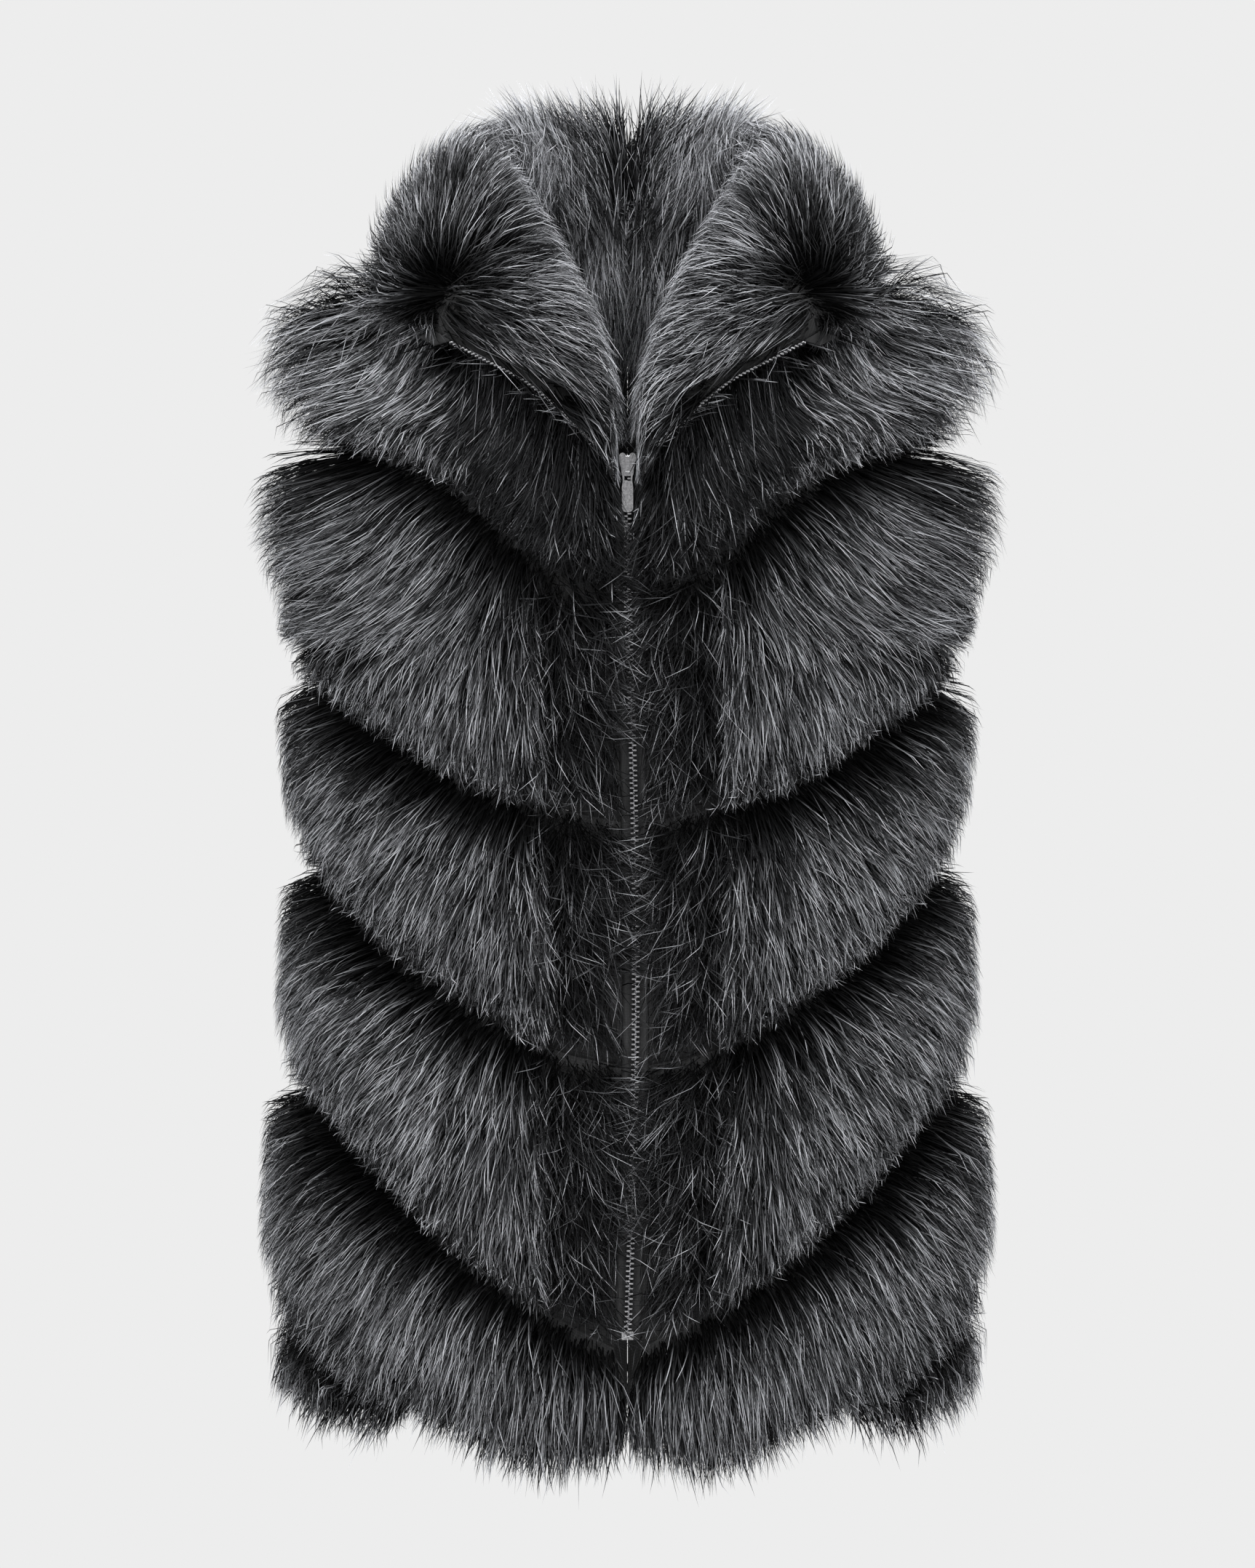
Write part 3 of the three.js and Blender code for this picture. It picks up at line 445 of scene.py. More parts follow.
def gridSlopes(grid, a, b, nudge):
    # How far the point moves for a whole step in a, and in b.
    da = (sampleGrid(grid, a + nudge, b) - sampleGrid(grid, a - nudge, b)) / (2 * nudge)
    db = (sampleGrid(grid, a, b + nudge) - sampleGrid(grid, a, b - nudge)) / (2 * nudge)
    return da, db


def pickRoots(inner, outer, side, count, keep, rng, cells=60):
    # Cells of the grid are drawn in the ratio of their area times keep, and a place in each.
    nudge = 0.5 / cells
    middles = (np.arange(cells) + 0.5) / cells
    a, b = np.meshgrid(middles, middles, indexing="ij")
    da, db = gridSlopes(inner, a, b, nudge)
    area = np.linalg.norm(np.cross(da, db), axis=-1)
    if keep is not None:
        area = area * keep(a, b, mirrored(sampleGrid(outer, a, b), side))
    cell = rng.choice(cells * cells, size=count, p=(area / area.sum()).ravel())
    a = (cell // cells + rng.uniform(0, 1, count)) / cells
    b = (cell % cells + rng.uniform(0, 1, count)) / cells
    return a, b, *gridSlopes(inner, a, b, nudge)


def stepOnGrid(move, da, db):
    # Solves move = stepA da + stepB db on the cloth, by the two dot products.
    g11, g12, g22 = np.sum(da * da, -1), np.sum(da * db, -1), np.sum(db * db, -1)
    h1, h2 = np.sum(da * move, -1), np.sum(db * move, -1)
    det = g11 * g22 - g12 * g12
    return (h1 * g22 - h2 * g12) / det, (h2 * g11 - h1 * g12) / det, np.sqrt(g11), np.sqrt(g22)


def lockPulls(a, b, sizeA, sizeB, style, rng):
    # Locks: hairs in one cell of about lock millimetres end nearer one point, and end alike.
    cellsA = max(1, round(sizeA.mean() / style["lock"] / 1.3))
    cellsB = max(1, round(sizeB.mean() / style["lock"]))
    slant = a * cellsA + 0.35 * np.sin(b * cellsB * 2.1)
    ia = np.floor(slant).astype(int) % (cellsA + 2)
    ib = np.floor(b * cellsB + 0.35 * np.sin(slant * 2.3)).astype(int) % (cellsB + 2)
    table = (cellsA + 2, cellsB + 2)
    middle = rng.uniform(0.2, 0.8, (*table, 2))
    pull = rng.uniform(0.3, 1.2, table)[ia, ib] * style["lockPull"]
    lockTone = rng.normal(0, 1, table)[ia, ib]
    lockA = ((ia + middle[ia, ib, 0]) / cellsA - a).clip(-1.2 / cellsA, 1.2 / cellsA) * pull
    lockB = ((ib + middle[ia, ib, 1]) / cellsB - b).clip(-1.2 / cellsB, 1.2 / cellsB) * pull
    ease = rng.uniform(-1, 1, table)[ia, ib] * 0.7 + rng.uniform(-0.5, 0.8, len(a))
    return lockA, lockB, lockTone, ease


def edgeLimit(a, b, spot, stepA, stepB, sizeA, sizeB, ease, style):
    # The share of its step that each hair may go: past each edge by that edge's own distance.
    past, rootPast, sidePast, middlePast = (
        valueAt(style[key], a, b, spot) for key in ("past", "rootPast", "sidePast", "middlePast"))
    past = past + style["ragged"] * ease
    over = np.abs(ease)
    room = np.where(stepA > 0, 1 + past / sizeA - a, a + rootPast * over / sizeA)
    limit = np.minimum(1, room / np.maximum(np.abs(stepA), 1e-6))
    room = np.where(stepB > 0, 1 + sidePast * over / sizeB - b, b + middlePast * over / sizeB)
    limit = np.minimum(limit, room / np.maximum(np.abs(stepB), 1e-6))
    return np.maximum(limit, 0.1)


def ribbonMesh(line, normal, style, rng):
    # Pairs of points on both sides of the line, turned about its length, and the tip alone.
    tangent = unit(np.concatenate(
        [line[:, 1:2] - line[:, :1], line[:, 2:] - line[:, :-2], line[:, -1:] - line[:, -2:-1]], 1))
    flat = unit(np.cross(tangent, normal[:, None, :]))
    turn = np.radians(rng.uniform(-style["turn"], style["turn"], len(line)))[:, None, None]
    ribbon = flat * np.cos(turn) + np.cross(tangent, flat) * np.sin(turn)
    half = style["halfWidth"] * rng.uniform(0.6, 1.25, len(line))[:, None] * style["widths"][None, :]
    left, right = line - ribbon * half[..., None], line + ribbon * half[..., None]
    pairs = np.stack([left[:, :-1], right[:, :-1]], 2).reshape(len(line), -1, 3)
    points = np.concatenate([pairs, line[:, -1:]], 1)
    n = points.shape[1]
    first = np.arange(len(line))[:, None] * n
    quads = np.concatenate([first + [k, k + 1, k + 3, k + 2] for k in range(0, n - 3, 2)])
    return points, [quads, first + [n - 3, n - 2, n - 1]]


def growPile(name, inner, outer, side, count, seed, lean, tone, flow=None, keep=None, clear=None, **changes):
    # Each hair starts on the cloth at (a, b) and ends further on, near the pile's reach:
    # it rises as 1 - (1 - t)^rise and moves along the cloth as t^lay.
    style = {**pileStyle, **changes}
    rng = np.random.default_rng(seed)
    a, b, da, db = pickRoots(inner, outer, side, count, keep, rng)
    root, spot = sampleGrid(inner, a, b), sampleGrid(outer, a, b)
    normal, down = unit(spot - root), unit(da)
    aside = unit(db - np.sum(db * down, -1, keepdims=True) * down)
    lengths = style["length"] * (1 + style["lengthSpread"] * rng.uniform(-1, 0.6, count))
    phi = np.radians(lean(a, b, rng))
    way = np.cos(phi)[:, None] * down + np.sin(phi)[:, None] * aside
    if flow is not None:
        target, weight = flow(a, b, spot)
        target = target - np.sum(target * normal, -1, keepdims=True) * normal
        way = unit(lerp(way, unit(target), weight[:, None]))
        wobble = np.radians(rng.normal(0, style["wobble"], count))[:, None]
        way = way * np.cos(wobble) + np.cross(normal, way) * np.sin(wobble)
    lengthAlong = lengths * style["alongShare"]
    stepA, stepB, sizeA, sizeB = stepOnGrid(way * lengthAlong[:, None], da, db)
    lockA, lockB, lockTone, ease = lockPulls(a, b, sizeA, sizeB, style, rng)
    limit = edgeLimit(a, b, spot, stepA, stepB, sizeA, sizeB, ease, style)
    stepA, stepB = stepA * limit, stepB * limit
    t = style["steps"][None, :]
    # Near the lower edge some hairs lie close to the cloth, so the pile ends in layers.
    ending = smooth(a + stepA, 0.8, 1)
    reach = rng.uniform(0.5, 1, count) ** 0.6 * lerp(1, rng.uniform(0.25, 1, count), ending)
    alongCloth, rise = t ** style["lay"], 1 - (1 - t) ** style["rise"]
    stepsA = a[:, None] + stepA[:, None] * alongCloth + lockA[:, None] * t**1.6
    stepsB = b[:, None] + stepB[:, None] * alongCloth + lockB[:, None] * t**1.6
    base = sampleGrid(inner, stepsA, stepsB)
    inA, inB = np.clip(stepsA, 0, 1), np.clip(stepsB, 0, 1)
    thick = sampleGrid(outer, inA, inB) - sampleGrid(inner, inA, inB)
    line = base + thick * (rise * reach[:, None] * valueAt(style["swell"], inA, inB))[..., None]
    # A stiff hair keeps on the way it started, where the cloth turns away under it.
    ahead = root[:, None] + way[:, None] * ((lengthAlong * limit)[:, None] * alongCloth)[..., None]
    height = np.linalg.norm(thick[:, 0], axis=-1)[:, None] * rise * reach[:, None]
    ahead = ahead + normal[:, None] * height[..., None]
    stiff = valueAt(style["straight"], a, b, spot)
    line = lerp(line, ahead, (stiff * np.ones(count))[:, None, None])
    # Each hair bows to one side as bend (t^2 - 0.3 t).
    bend = rng.normal(0, style["bend"], count) * lengths
    bow = np.cross(normal, way)
    line = line + bow[:, None, :] * (bend[:, None] * (t**2 - 0.3 * t))[..., None]
    line[:, 0] = root + unit(normal) * style["rootLift"]
    if clear is not None:
        finer = along(style["steps"], line.transpose(1, 0, 2), np.linspace(0.15, 1, 12))
        kept = clear(mirrored(finer, side)) | (rng.uniform(0, 1, count) < style["crossing"])
        line, normal, a, b, spot, reach, lockTone = (
            values[kept] for values in (line, normal, a, b, spot, reach, lockTone))
    points, faces = ribbonMesh(line, normal, style, rng)
    # Most hairs are darker than the tone asked for and a few much lighter: tone * exp(spread), with painted shade on
    # hairs that lie low under the others.
    spread = style["lockTone"] * lockTone + style["hairTone"] * rng.normal(0, 1, len(a))
    # lerp(0.5, 1, reach) is painted shade: down to half for hairs that rise least.
    shade = tone(a, b, mirrored(spot, side), rng) * np.exp(spread) * lerp(0.5, 1, reach)
    n = points.shape[1]
    u = np.clip(shade, 0.02, 0.98)[:, None] + np.resize([-1, 1], n) * style["shadeSpan"]
    v = np.broadcast_to(np.repeat(style["steps"], 2)[:n] * 0.96 + 0.02, u.shape)
    uv = np.stack([u, v], -1).reshape(-1, 2)
    obj = meshObject(name, mirrored(points.reshape(-1, 3), side), faces, uv)
    obj.data.materials.append(furMaterial)
    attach(obj, "vest")
    return obj


# Materials


def newMaterial(name, **sockets):
    material = bpy.data.materials.new(name)
    material.use_nodes = True
    shader = material.node_tree.nodes["Principled BSDF"]
    for socket, value in sockets.items():
        shader.inputs[socket].default_value = value
    return material, material.node_tree, shader


def addNode(tree, kind, inputs=None, **settings):
    made = tree.nodes.new(kind)
    for key, value in settings.items():
        setattr(made, key, value)
    for key, value in (inputs or {}).items():
        if isinstance(value, bpy.types.NodeSocket):
            tree.links.new(value, made.inputs[key])
        else:
            made.inputs[key].default_value = value
    return made


def addRamp(tree, factor, stops):
    ramp = addNode(tree, "ShaderNodeValToRGB", {0: factor})
    elements = ramp.color_ramp.elements
    while len(elements) < len(stops):
        elements.new(0.5)
    for element, (position, colour) in zip(elements, stops):
        element.position = position
        element.color = (*colour, 1)
    return ramp.outputs["Color"]


def buildFur():
    # The pile's UV map is its own: across is the hair's tone, up is the way from root to tip.
    material, tree, shader = newMaterial("furLongPile", Roughness=0.55, **{"Specular IOR Level": 0.02})
    place = addNode(tree, "ShaderNodeUVMap", uv_map="OFBake")
    parts = addNode(tree, "ShaderNodeSeparateXYZ", {0: place.outputs["UV"]})
    dark = addRamp(tree, parts.outputs["Y"], furLook["dark"])
    light = addRamp(tree, parts.outputs["Y"], furLook["light"])
    blend = addNode(tree, "ShaderNodeMix", {"Factor": parts.outputs["X"]}, data_type="RGBA")
    tree.links.new(dark, blend.inputs["A"])
    tree.links.new(light, blend.inputs["B"])
    tree.links.new(blend.outputs["Result"], shader.inputs["Base Color"])
    return material


def grey(value, cool=1.08):
    return (value, value * 1.02, value * cool)


furLook = {
    "dark": [(0, grey(0.001)), (0.5, grey(0.002)), (0.8, grey(0.006)), (1, grey(0.02))],
    "light": [(0, grey(0.001)), (0.35, grey(0.012)), (0.6, grey(0.17)), (0.8, grey(0.62)), (1, grey(0.9))],
}
furMaterial = buildFur()


def buildWeaveGroup():
    # Crossed threads: two waves across the UV map multiplied, and a slow mottle.
    group = bpy.data.node_groups.new("clothWeave", "ShaderNodeTree")
    group.interface.new_socket("Vector", in_out="INPUT", socket_type="NodeSocketVector")
    group.interface.new_socket("Threads", in_out="INPUT", socket_type="NodeSocketFloat")
    group.interface.new_socket("Height", in_out="OUTPUT", socket_type="NodeSocketFloat")
    group.interface.new_socket("Mottle", in_out="OUTPUT", socket_type="NodeSocketFloat")
    start, end = group.nodes.new("NodeGroupInput"), group.nodes.new("NodeGroupOutput")
    waves = []
    for direction in ("X", "Y"):
        sockets = {"Vector": start.outputs["Vector"], "Scale": start.outputs["Threads"]}
        wave = addNode(group, "ShaderNodeTexWave", sockets, wave_type="BANDS", bands_direction=direction)
        waves.append(wave.outputs["Fac"])
    top = addNode(group, "ShaderNodeMath", {0: waves[0], 1: waves[1]}, operation="MULTIPLY")
    noise = addNode(group, "ShaderNodeTexNoise", {"Vector": start.outputs["Vector"], "Scale": 14.0, "Detail": 4.0})
    group.links.new(top.outputs[0], end.inputs["Height"])
    group.links.new(noise.outputs["Fac"], end.inputs["Mottle"])
    return group


weaveGroup = buildWeaveGroup()
threadHeight = 0.0004  # metres


def buildCloth(name, dark, light, threads, bump, **sockets):
    material, tree, shader = newMaterial(name, **sockets)
    place = addNode(tree, "ShaderNodeUVMap", uv_map="OFBake")
    weave = addNode(tree, "ShaderNodeGroup", node_tree=weaveGroup)
    tree.links.new(place.outputs["UV"], weave.inputs["Vector"])
    weave.inputs["Threads"].default_value = threads
    both = addNode(tree, "ShaderNodeMath", {0: weave.outputs["Height"], 1: weave.outputs["Mottle"]},
                   operation="MULTIPLY")
    colour = addRamp(tree, both.outputs[0], [(0, dark), (0.6, light)])
    tree.links.new(colour, shader.inputs["Base Color"])
    raised = addNode(tree, "ShaderNodeBump",
                     {"Height": weave.outputs["Height"], "Strength": bump, "Distance": threadHeight})
    tree.links.new(raised.outputs["Normal"], shader.inputs["Normal"])
    return material


backingMaterial = buildCloth("furBacking", grey(0.006), grey(0.022), 90, 0.5, Roughness=0.85)
tapeMaterial = buildCloth("zipTape", grey(0.012), grey(0.04), 260, 0.6, Roughness=0.6)


def buildMetal():
    # Bright nickel plate with fine wear: noise in the roughness and a faint darkening.
    material, tree, shader = newMaterial("zipNickel", Metallic=1.0)
    place = addNode(tree, "ShaderNodeTexCoord")
    noise = addNode(tree, "ShaderNodeTexNoise", {"Vector": place.outputs["Object"], "Scale": 900.0, "Detail": 5.0})
    colour = addRamp(tree, noise.outputs["Fac"], [(0.3, (0.5, 0.5, 0.52)), (0.65, (0.86, 0.86, 0.88))])
    rough = addNode(tree, "ShaderNodeMapRange", {"Value": noise.outputs["Fac"], "To Min": 0.12, "To Max": 0.34})
    tree.links.new(colour, shader.inputs["Base Color"])
    tree.links.new(rough.outputs[0], shader.inputs["Roughness"])
    return material


metalMaterial = buildMetal()

# Cloth and pile, panel by panel

density = {"front": 0.27, "back": 0.14, "strip": 0.24, "collar": 0.33, "under": 0.1}  # hairs a square mm
clothThickness = 1.4
seeds = itertools.count(101)


def gridArea(grid):
    a, b = np.diff(grid, axis=0)[:, :-1], np.diff(grid, axis=1)[:-1]
    return np.linalg.norm(np.cross(a, b), axis=-1).sum()


def addCloth(name, node, grid, outward, thickness, side, material):
    cloth, size = clothShell(name, grid, outward, thickness, side)
    cloth.data.materials.append(material)
    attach(cloth, "vest")
    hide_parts(node)
    return cloth, size


def addPanel(node, inner, outer, side, thick, lean, tone, **changes):
    cloth, (width, length, area) = addCloth(
        "cloth_" + node, node, inner, outer - inner, clothThickness, side, backingMaterial)
    count = int(gridArea((inner + outer) / 2) * thick)
    fur = growPile("fur_" + node, inner, outer, side, count, next(seeds), lean, tone, **changes)


def bandLean(c0, c1, scatter):
    # Down at the middle, outward towards the side, level again where the side seam is.
    def lean(a, b, rng):
        c = lerp(c0, c1, b)
        outward = along([0, 0.2, 0.45, 0.7, 0.88, 1], [4, 8, 26, 40, 36, 18], c)
        inward = rng.uniform(0, 34, len(a)) * np.exp(-((b / 0.12) ** 2)) * (c0 > 0)
        return outward * (1.3 - 0.6 * a) - inward + rng.normal(0, scatter, len(a))
    return lean


def bandTone(c0, c1, depth):
    # Dark for a short way below the seam, more so at the side: the hairs' dark roots and painted shade in the groove
    # under the band above. Darker next to the zip strip, painted shade towards the band's lower end, and slow drifts
    # of light and dark.
    def tone(a, b, spot, rng):
        c = lerp(c0, c1, b)
        reach = lerp(0.12, 0.17, c)
        # Painted shade under the band above, over the hairs' dark roots.
        dark = np.exp(-((a / reach) ** 2))
        edge = 0.8 * np.exp(-((b / 0.12) ** 2)) * (1 - 0.5 * a) if c0 == vest["stripShare"] else 0
        # The last factor is painted shade towards the band's lower end.
        level = (1 - depth * dark) * (1 - edge) * (1 - 0.55 * smooth(a, 0.66, 0.95))
        return 0.24 * level * np.exp(0.3 * drift(spot, 90, 7))
    return tone


def sideSwell(a, b):
    return 1 + 0.22 * smooth(b, 0.75, 1)


def cornerLean(a, b, rng):
    return rng.normal(8, 12, len(a))


stripHair = {"length": 44, "bend": 0.32, "lockPull": 0.3, "halfWidth": 0.3, "turn": 80,
             "middlePast": 34, "hairTone": 1.8}


def stripLean(a, b, rng):
    return lerp(-45, 5, b) + rng.normal(0, 30, len(a))


def stripTone(a, b, spot, rng):
    return 0.024 * np.exp(0.4 * drift(spot, 50, 11))


# Where the metal shows through the pile, seen from the front: x, z, x, z and how far round it.
metalShows = [(2, -309, 2, -338, 5), (4, -448, 4, -488, 5), (1, -612, 1, -652, 5), (0, -131, 0, -143, 5),
              (106, -61, 38, -94, 2.6), (-106, -61, -38, -94, 2.6), (113, -52, 111, -57, 4.5),
              (-113, -52, -111, -57, 4.5)]


def clearOfMetal(points):
    # True for a hair if none of its points comes within a stretch's distance, in front.
    hidden = np.zeros(points.shape[:2], bool)
    flat = points[..., [0, 2]]
    for x0, z0, x1, z1, radius in metalShows:
        start, step = np.array([x0, z0]), np.array([x1 - x0, z1 - z0])
        t = np.clip((flat - start) @ step / (step @ step), 0, 1)
        hidden |= np.linalg.norm(flat - start - t[..., None] * step, axis=-1) < radius
    return ~(hidden & (points[..., 1] < -60)).any(0)


def stripKeep(a, b, spot):
    # Bare cloth shows at the lower end of each strip.
    return 1 - 0.8 * smooth(a, 0.86, 0.95)


def yokeLean(a, b, rng):
    messy = rng.normal(0, 1, len(a)) * lerp(30, 9, smooth(b, 0.1, 0.4))
    return along([0, 0.12, 0.4, 0.7, 0.85, 1], [-45, 0, 30, 42, 32, 14], b) * (1.1 - 0.5 * a) + messy


def yokeMiddlePast(a, b, spot):
    return 9 + 28 * smooth(-spot[:, 2], 120, 135)


def yokeSidePast(a, b, spot):
    return lerp(2, 12, smooth(a, 0.1, 0.45))


def yokeSwell(a, b):
    # Fuller where the pile half buries the pull tab, and below the collar's edge on the shoulder.
    shoulder = np.exp(-(((b - 0.76) / 0.17) ** 2)) * (1 - smooth(a, 0.1, 0.3))
    armhole = 0.2 * smooth(b, 0.8, 1) * smooth(a, 0.4, 0.7)
    return 1 + 1.4 * np.exp(-((b / 0.09) ** 2)) * smooth(a, 0.1, 0.3) + 1.7 * shoulder + armhole


def yokeTone(a, b, spot, rng):
    # Painted shade: dark in the middle, under the collar, and darker towards the lower seam.
    level = lerp(0.012, 0.24, smooth(np.abs(spot[:, 0]), 75, 140)) * (1 - 0.5 * smooth(a, 0.85, 1))
    return level * np.exp(0.3 * drift(spot, 70, 13))


bandNames = [("chest", "yoke", "chest"), ("waist", "chest", "waist"), ("hip", "waist", "hip")]
sides = [(1, "left"), (-1, "right")]
yokes = {}
for side, sideName in sides:
    for face in ("front", "back"):
        hair = plainHair if face == "back" else {}
        inner, outer = yokePanel(face, side)
        if side > 0:
            yokes[face] = (inner, outer)
        inner, outer = refine(inner, 33, 31), refine(outer, 33, 31)
        addPanel(f"{face}_yoke_{sideName}", inner, outer, side, density[face], yokeLean, yokeTone,
                 sidePast=yokeSidePast, swell=yokeSwell, middlePast=yokeMiddlePast,
                 clear=clearOfMetal, **hair)
        for name, top, bottom in bandNames:
            topAt, bottomAt = (lambda c, k=top: seamZ(k, c)), (lambda c, k=bottom: seamZ(k, c))
            c0 = vest["stripShare"] if face == "front" else 0
            inner, outer = bandPanel(face, side, topAt, bottomAt, c0, 1)
            addPanel(f"{face}_{name}_{sideName}", inner, outer, side, density[face], bandLean(c0, 1, 8),
                     bandTone(c0, 1, 0.75), swell=sideSwell, clear=clearOfMetal, **hair)
            if face == "front":
                inner, outer = bandPanel(face, side, topAt, bottomAt, 0, c0)
                addPanel(f"zip_strip_{name}_{sideName}", inner, outer, side, density["strip"],
                         stripLean, stripTone, keep=stripKeep, clear=clearOfMetal, **stripHair)
        hem = lambda c, k=face + "Hem": seamZ(k, c)
        corner = lambda c, k=hem: np.maximum(seamZ("corner", c), k(c) + vest["cornerRise"])
        lowest = lambda c, h=hem, k=corner: np.where(c < vest["cornerShare"] - 1e-9, h(c), k(c))
        inner, outer = bandPanel(face, side, lambda c: seamZ("hip", c), lowest, 0, 1,
                                 hang=lambda c: np.clip((0.5 - c) * 5, 0, 1))
        addPanel(f"{face}_lower_{sideName}", inner, outer, side, density[face], bandLean(0, 1, 10),
                 bandTone(0, 1, 0.75), past=4, ragged=12, middlePast=20, swell=sideSwell, **hair)
        inner, outer = bandPanel(face, side, corner, hem, 0.5, 1,
                                 hang=lambda c: np.clip(0.4 + (c - 0.5) * 10 / 3, 0, 1))
        addPanel(f"{face}_corner_{sideName}", inner, outer, side, density[face] * 1.5, cornerLean,
                 bandTone(0.5, 1, 0.3), past=5, ragged=12, length=50, **hair)
print("body panels made")

# Collar

whorl = np.array([124, -76, -29])


def collarFlow(a, b, spot):
    # Hair of the lapels runs out from a whorl near the corner; the standing back's runs up.
    return spot - whorl, smooth(b, 0.25, 0.5) * (1 - smooth(b, 0.94, 1))


def fallFlow(a, b, spot):
    return np.stack([-0.6 * spot[:, 0] / 40, 0 * a - 0.3, 0 * a - 1], -1), 0 * a + 1


def fallTone(a, b, spot, rng):
    # The pile that falls over the neckline behind is dark along the middle.
    middleSeam = 0.85 * np.exp(-((spot[:, 0] / 7) ** 2))
    return 0.3 * (1 - middleSeam) * np.exp(0.3 * drift(spot, 60, 23))


def fallKeep(a, b, spot):
    return (1 - smooth(a, 0.16, 0.26)) * (1 - smooth(b, 0.26, 0.34))


def collarLean(a, b, rng):
    return 25 + rng.normal(0, 12, len(a))


def collarTone(a, b, spot, rng):
    # Dark round the whorl and in the middle of the back, with a painted highlight along the crest, where the pile
    # turns over it.
    away = np.linalg.norm(np.abs(spot) * [1, -1, 1] - whorl * [1, 1, -1], axis=-1)
    dark = 0.9 * np.exp(-((away / 34) ** 2))
    seam = 0.75 * np.exp(-((b / 0.06) ** 2))
    # Painted highlight along the crest.
    crest = np.exp(-(((a - 0.36) / 0.14) ** 2)) * smooth(b, 0.1, 0.3)
    zipSide = 0.6 * smooth(a, 0.7, 0.95) * smooth(b, 0.7, 0.78) * (1 - smooth(b, 0.95, 1))
    low = 0.8 * smooth(-spot[:, 2], 62, 82) * smooth(np.abs(spot[:, 0]), 8, 24) * smooth(b, 0.5, 0.6)
    level = 0.21 * (1 + 2.6 * crest) * (1 - dark) * (1 - seam) * (1 - zipSide) * (1 - low)
    return level * np.exp(0.3 * drift(spot, 80, 17))


def collarSwell(a, b):
    # The lapels' pile meets in the middle above the slider.
    return 1 + 0.2 * smooth(b, 0.62, 0.75) * np.exp(-(((a - 0.35) / 0.25) ** 2))


def collarPast(a, b, spot):
    # The pile stops short of the open zip and hangs well past the rest of the edge.
    draped = 26 * np.exp(-(((b - 0.54) / 0.08) ** 2))
    return lerp(16, 5, smooth(b, 0.72, 0.76)) + draped + 8 * smooth(b, 0.9, 0.95)


def collarRootPast(a, b, spot):
    return 4 + 32 * smooth(b, 0.58, 0.68)


def collarStraight(a, b, spot):
    # Stiff enough to stand up past the crest behind, and to close the V in front.
    crest = np.exp(-(((a - 0.34) / 0.14) ** 2)) * (1 - smooth(b, 0.35, 0.5))
    behind = lerp(lerp(0.2, 0.6, smooth(a, 0.15, 0.35)), 1, crest) * (1 - smooth(b, 0.6, 0.7))
    return np.maximum(behind, 0.5 * smooth(b, 0.5, 0.65) * (1 - smooth(a, 0.6, 0.8)))


def underLean(a, b, rng):
    return 10 + rng.normal(0, 12, len(a))


def underTone(a, b, spot, rng):
    return 0.24 * (1 - 0.7 * np.exp(-((b / 0.05) ** 2))) * np.exp(0.3 * drift(spot, 80, 19))


collarHair = {"flow": collarFlow, "past": collarPast, "sidePast": 4, "middlePast": 7,
              "rootPast": collarRootPast, "straight": collarStraight, "swell": collarSwell}
underHair = {"past": collarPast, "sidePast": 4, "middlePast": 16, **plainHair}
fallHair = {"flow": fallFlow, "keep": fallKeep, "length": 80, "rootPast": 140, "bend": 0.2, **plainHair}
fallCount = 7000
middle, inside, outside, edgeOut, edgeFront = collarPanels(yokes)
for side, sideName in sides:
    cloth = refine(middle, 41, 65)
    lining = unit(cloth - refine(inside, 41, 65))
    shell, (width, length, area) = addCloth("cloth_collar_" + sideName, "collar_" + sideName, cloth, -lining,
                                            -clothThickness, side, backingMaterial)
    for face, grid, lean, tone, thick, hair in (
            ("inside", inside, collarLean, collarTone, density["collar"], collarHair),
            ("outside", outside, underLean, underTone, density["under"], underHair)):
        outer = refine(grid, 41, 65)
        count = int(gridArea((cloth + outer) / 2) * thick)
        growPile(f"fur_collar_{face}_{sideName}", cloth, outer, side, count, next(seeds),
                             lean, tone, clear=clearOfMetal, **hair)
    growPile("fur_collar_fall_" + sideName, cloth, refine(inside, 41, 65), side, fallCount,
                         next(seeds), collarLean, fallTone, **fallHair)
print("collar made")

# Zip

zipDims = {"tape": 1.2, "pitch": 3.03, "toothHalf": 3.05, "toothDepth": 2.5, "toothHeight": 1.5,
           "lap": 0.8, "openFrom": 1.56, "openTo": 1.98}


def toothShape():
    # A rounded bar seen from the front, its face smaller than its root: eight points a layer.
    half, low, high = zipDims["toothHeight"] / 2, -zipDims["lap"], zipDims["toothHalf"]
    cut = 0.45
    ring8 = np.array([(low + cut, -half), (high - cut, -half), (high, -half + cut), (high, half - cut),
                      (high - cut, half), (low + cut, half), (low, half - cut), (low, -half + cut)])
    centre = ring8.mean(0)
    layers = [(1, 0), (1, zipDims["toothDepth"] * 0.6), (0.62, zipDims["toothDepth"])]
    points = np.concatenate([np.column_stack([lerp(centre, ring8, share), np.full(8, lift)])
                             for share, lift in layers])
    k, n = np.arange(8), (np.arange(8) + 1) % 8
    quads = np.concatenate([np.stack([k + s, n + s, n + s + 8, k + s + 8], -1) for s in (0, 8)])
    caps = np.array([np.arange(8)[::-1], np.arange(8) + 16])
    return points, quads, caps


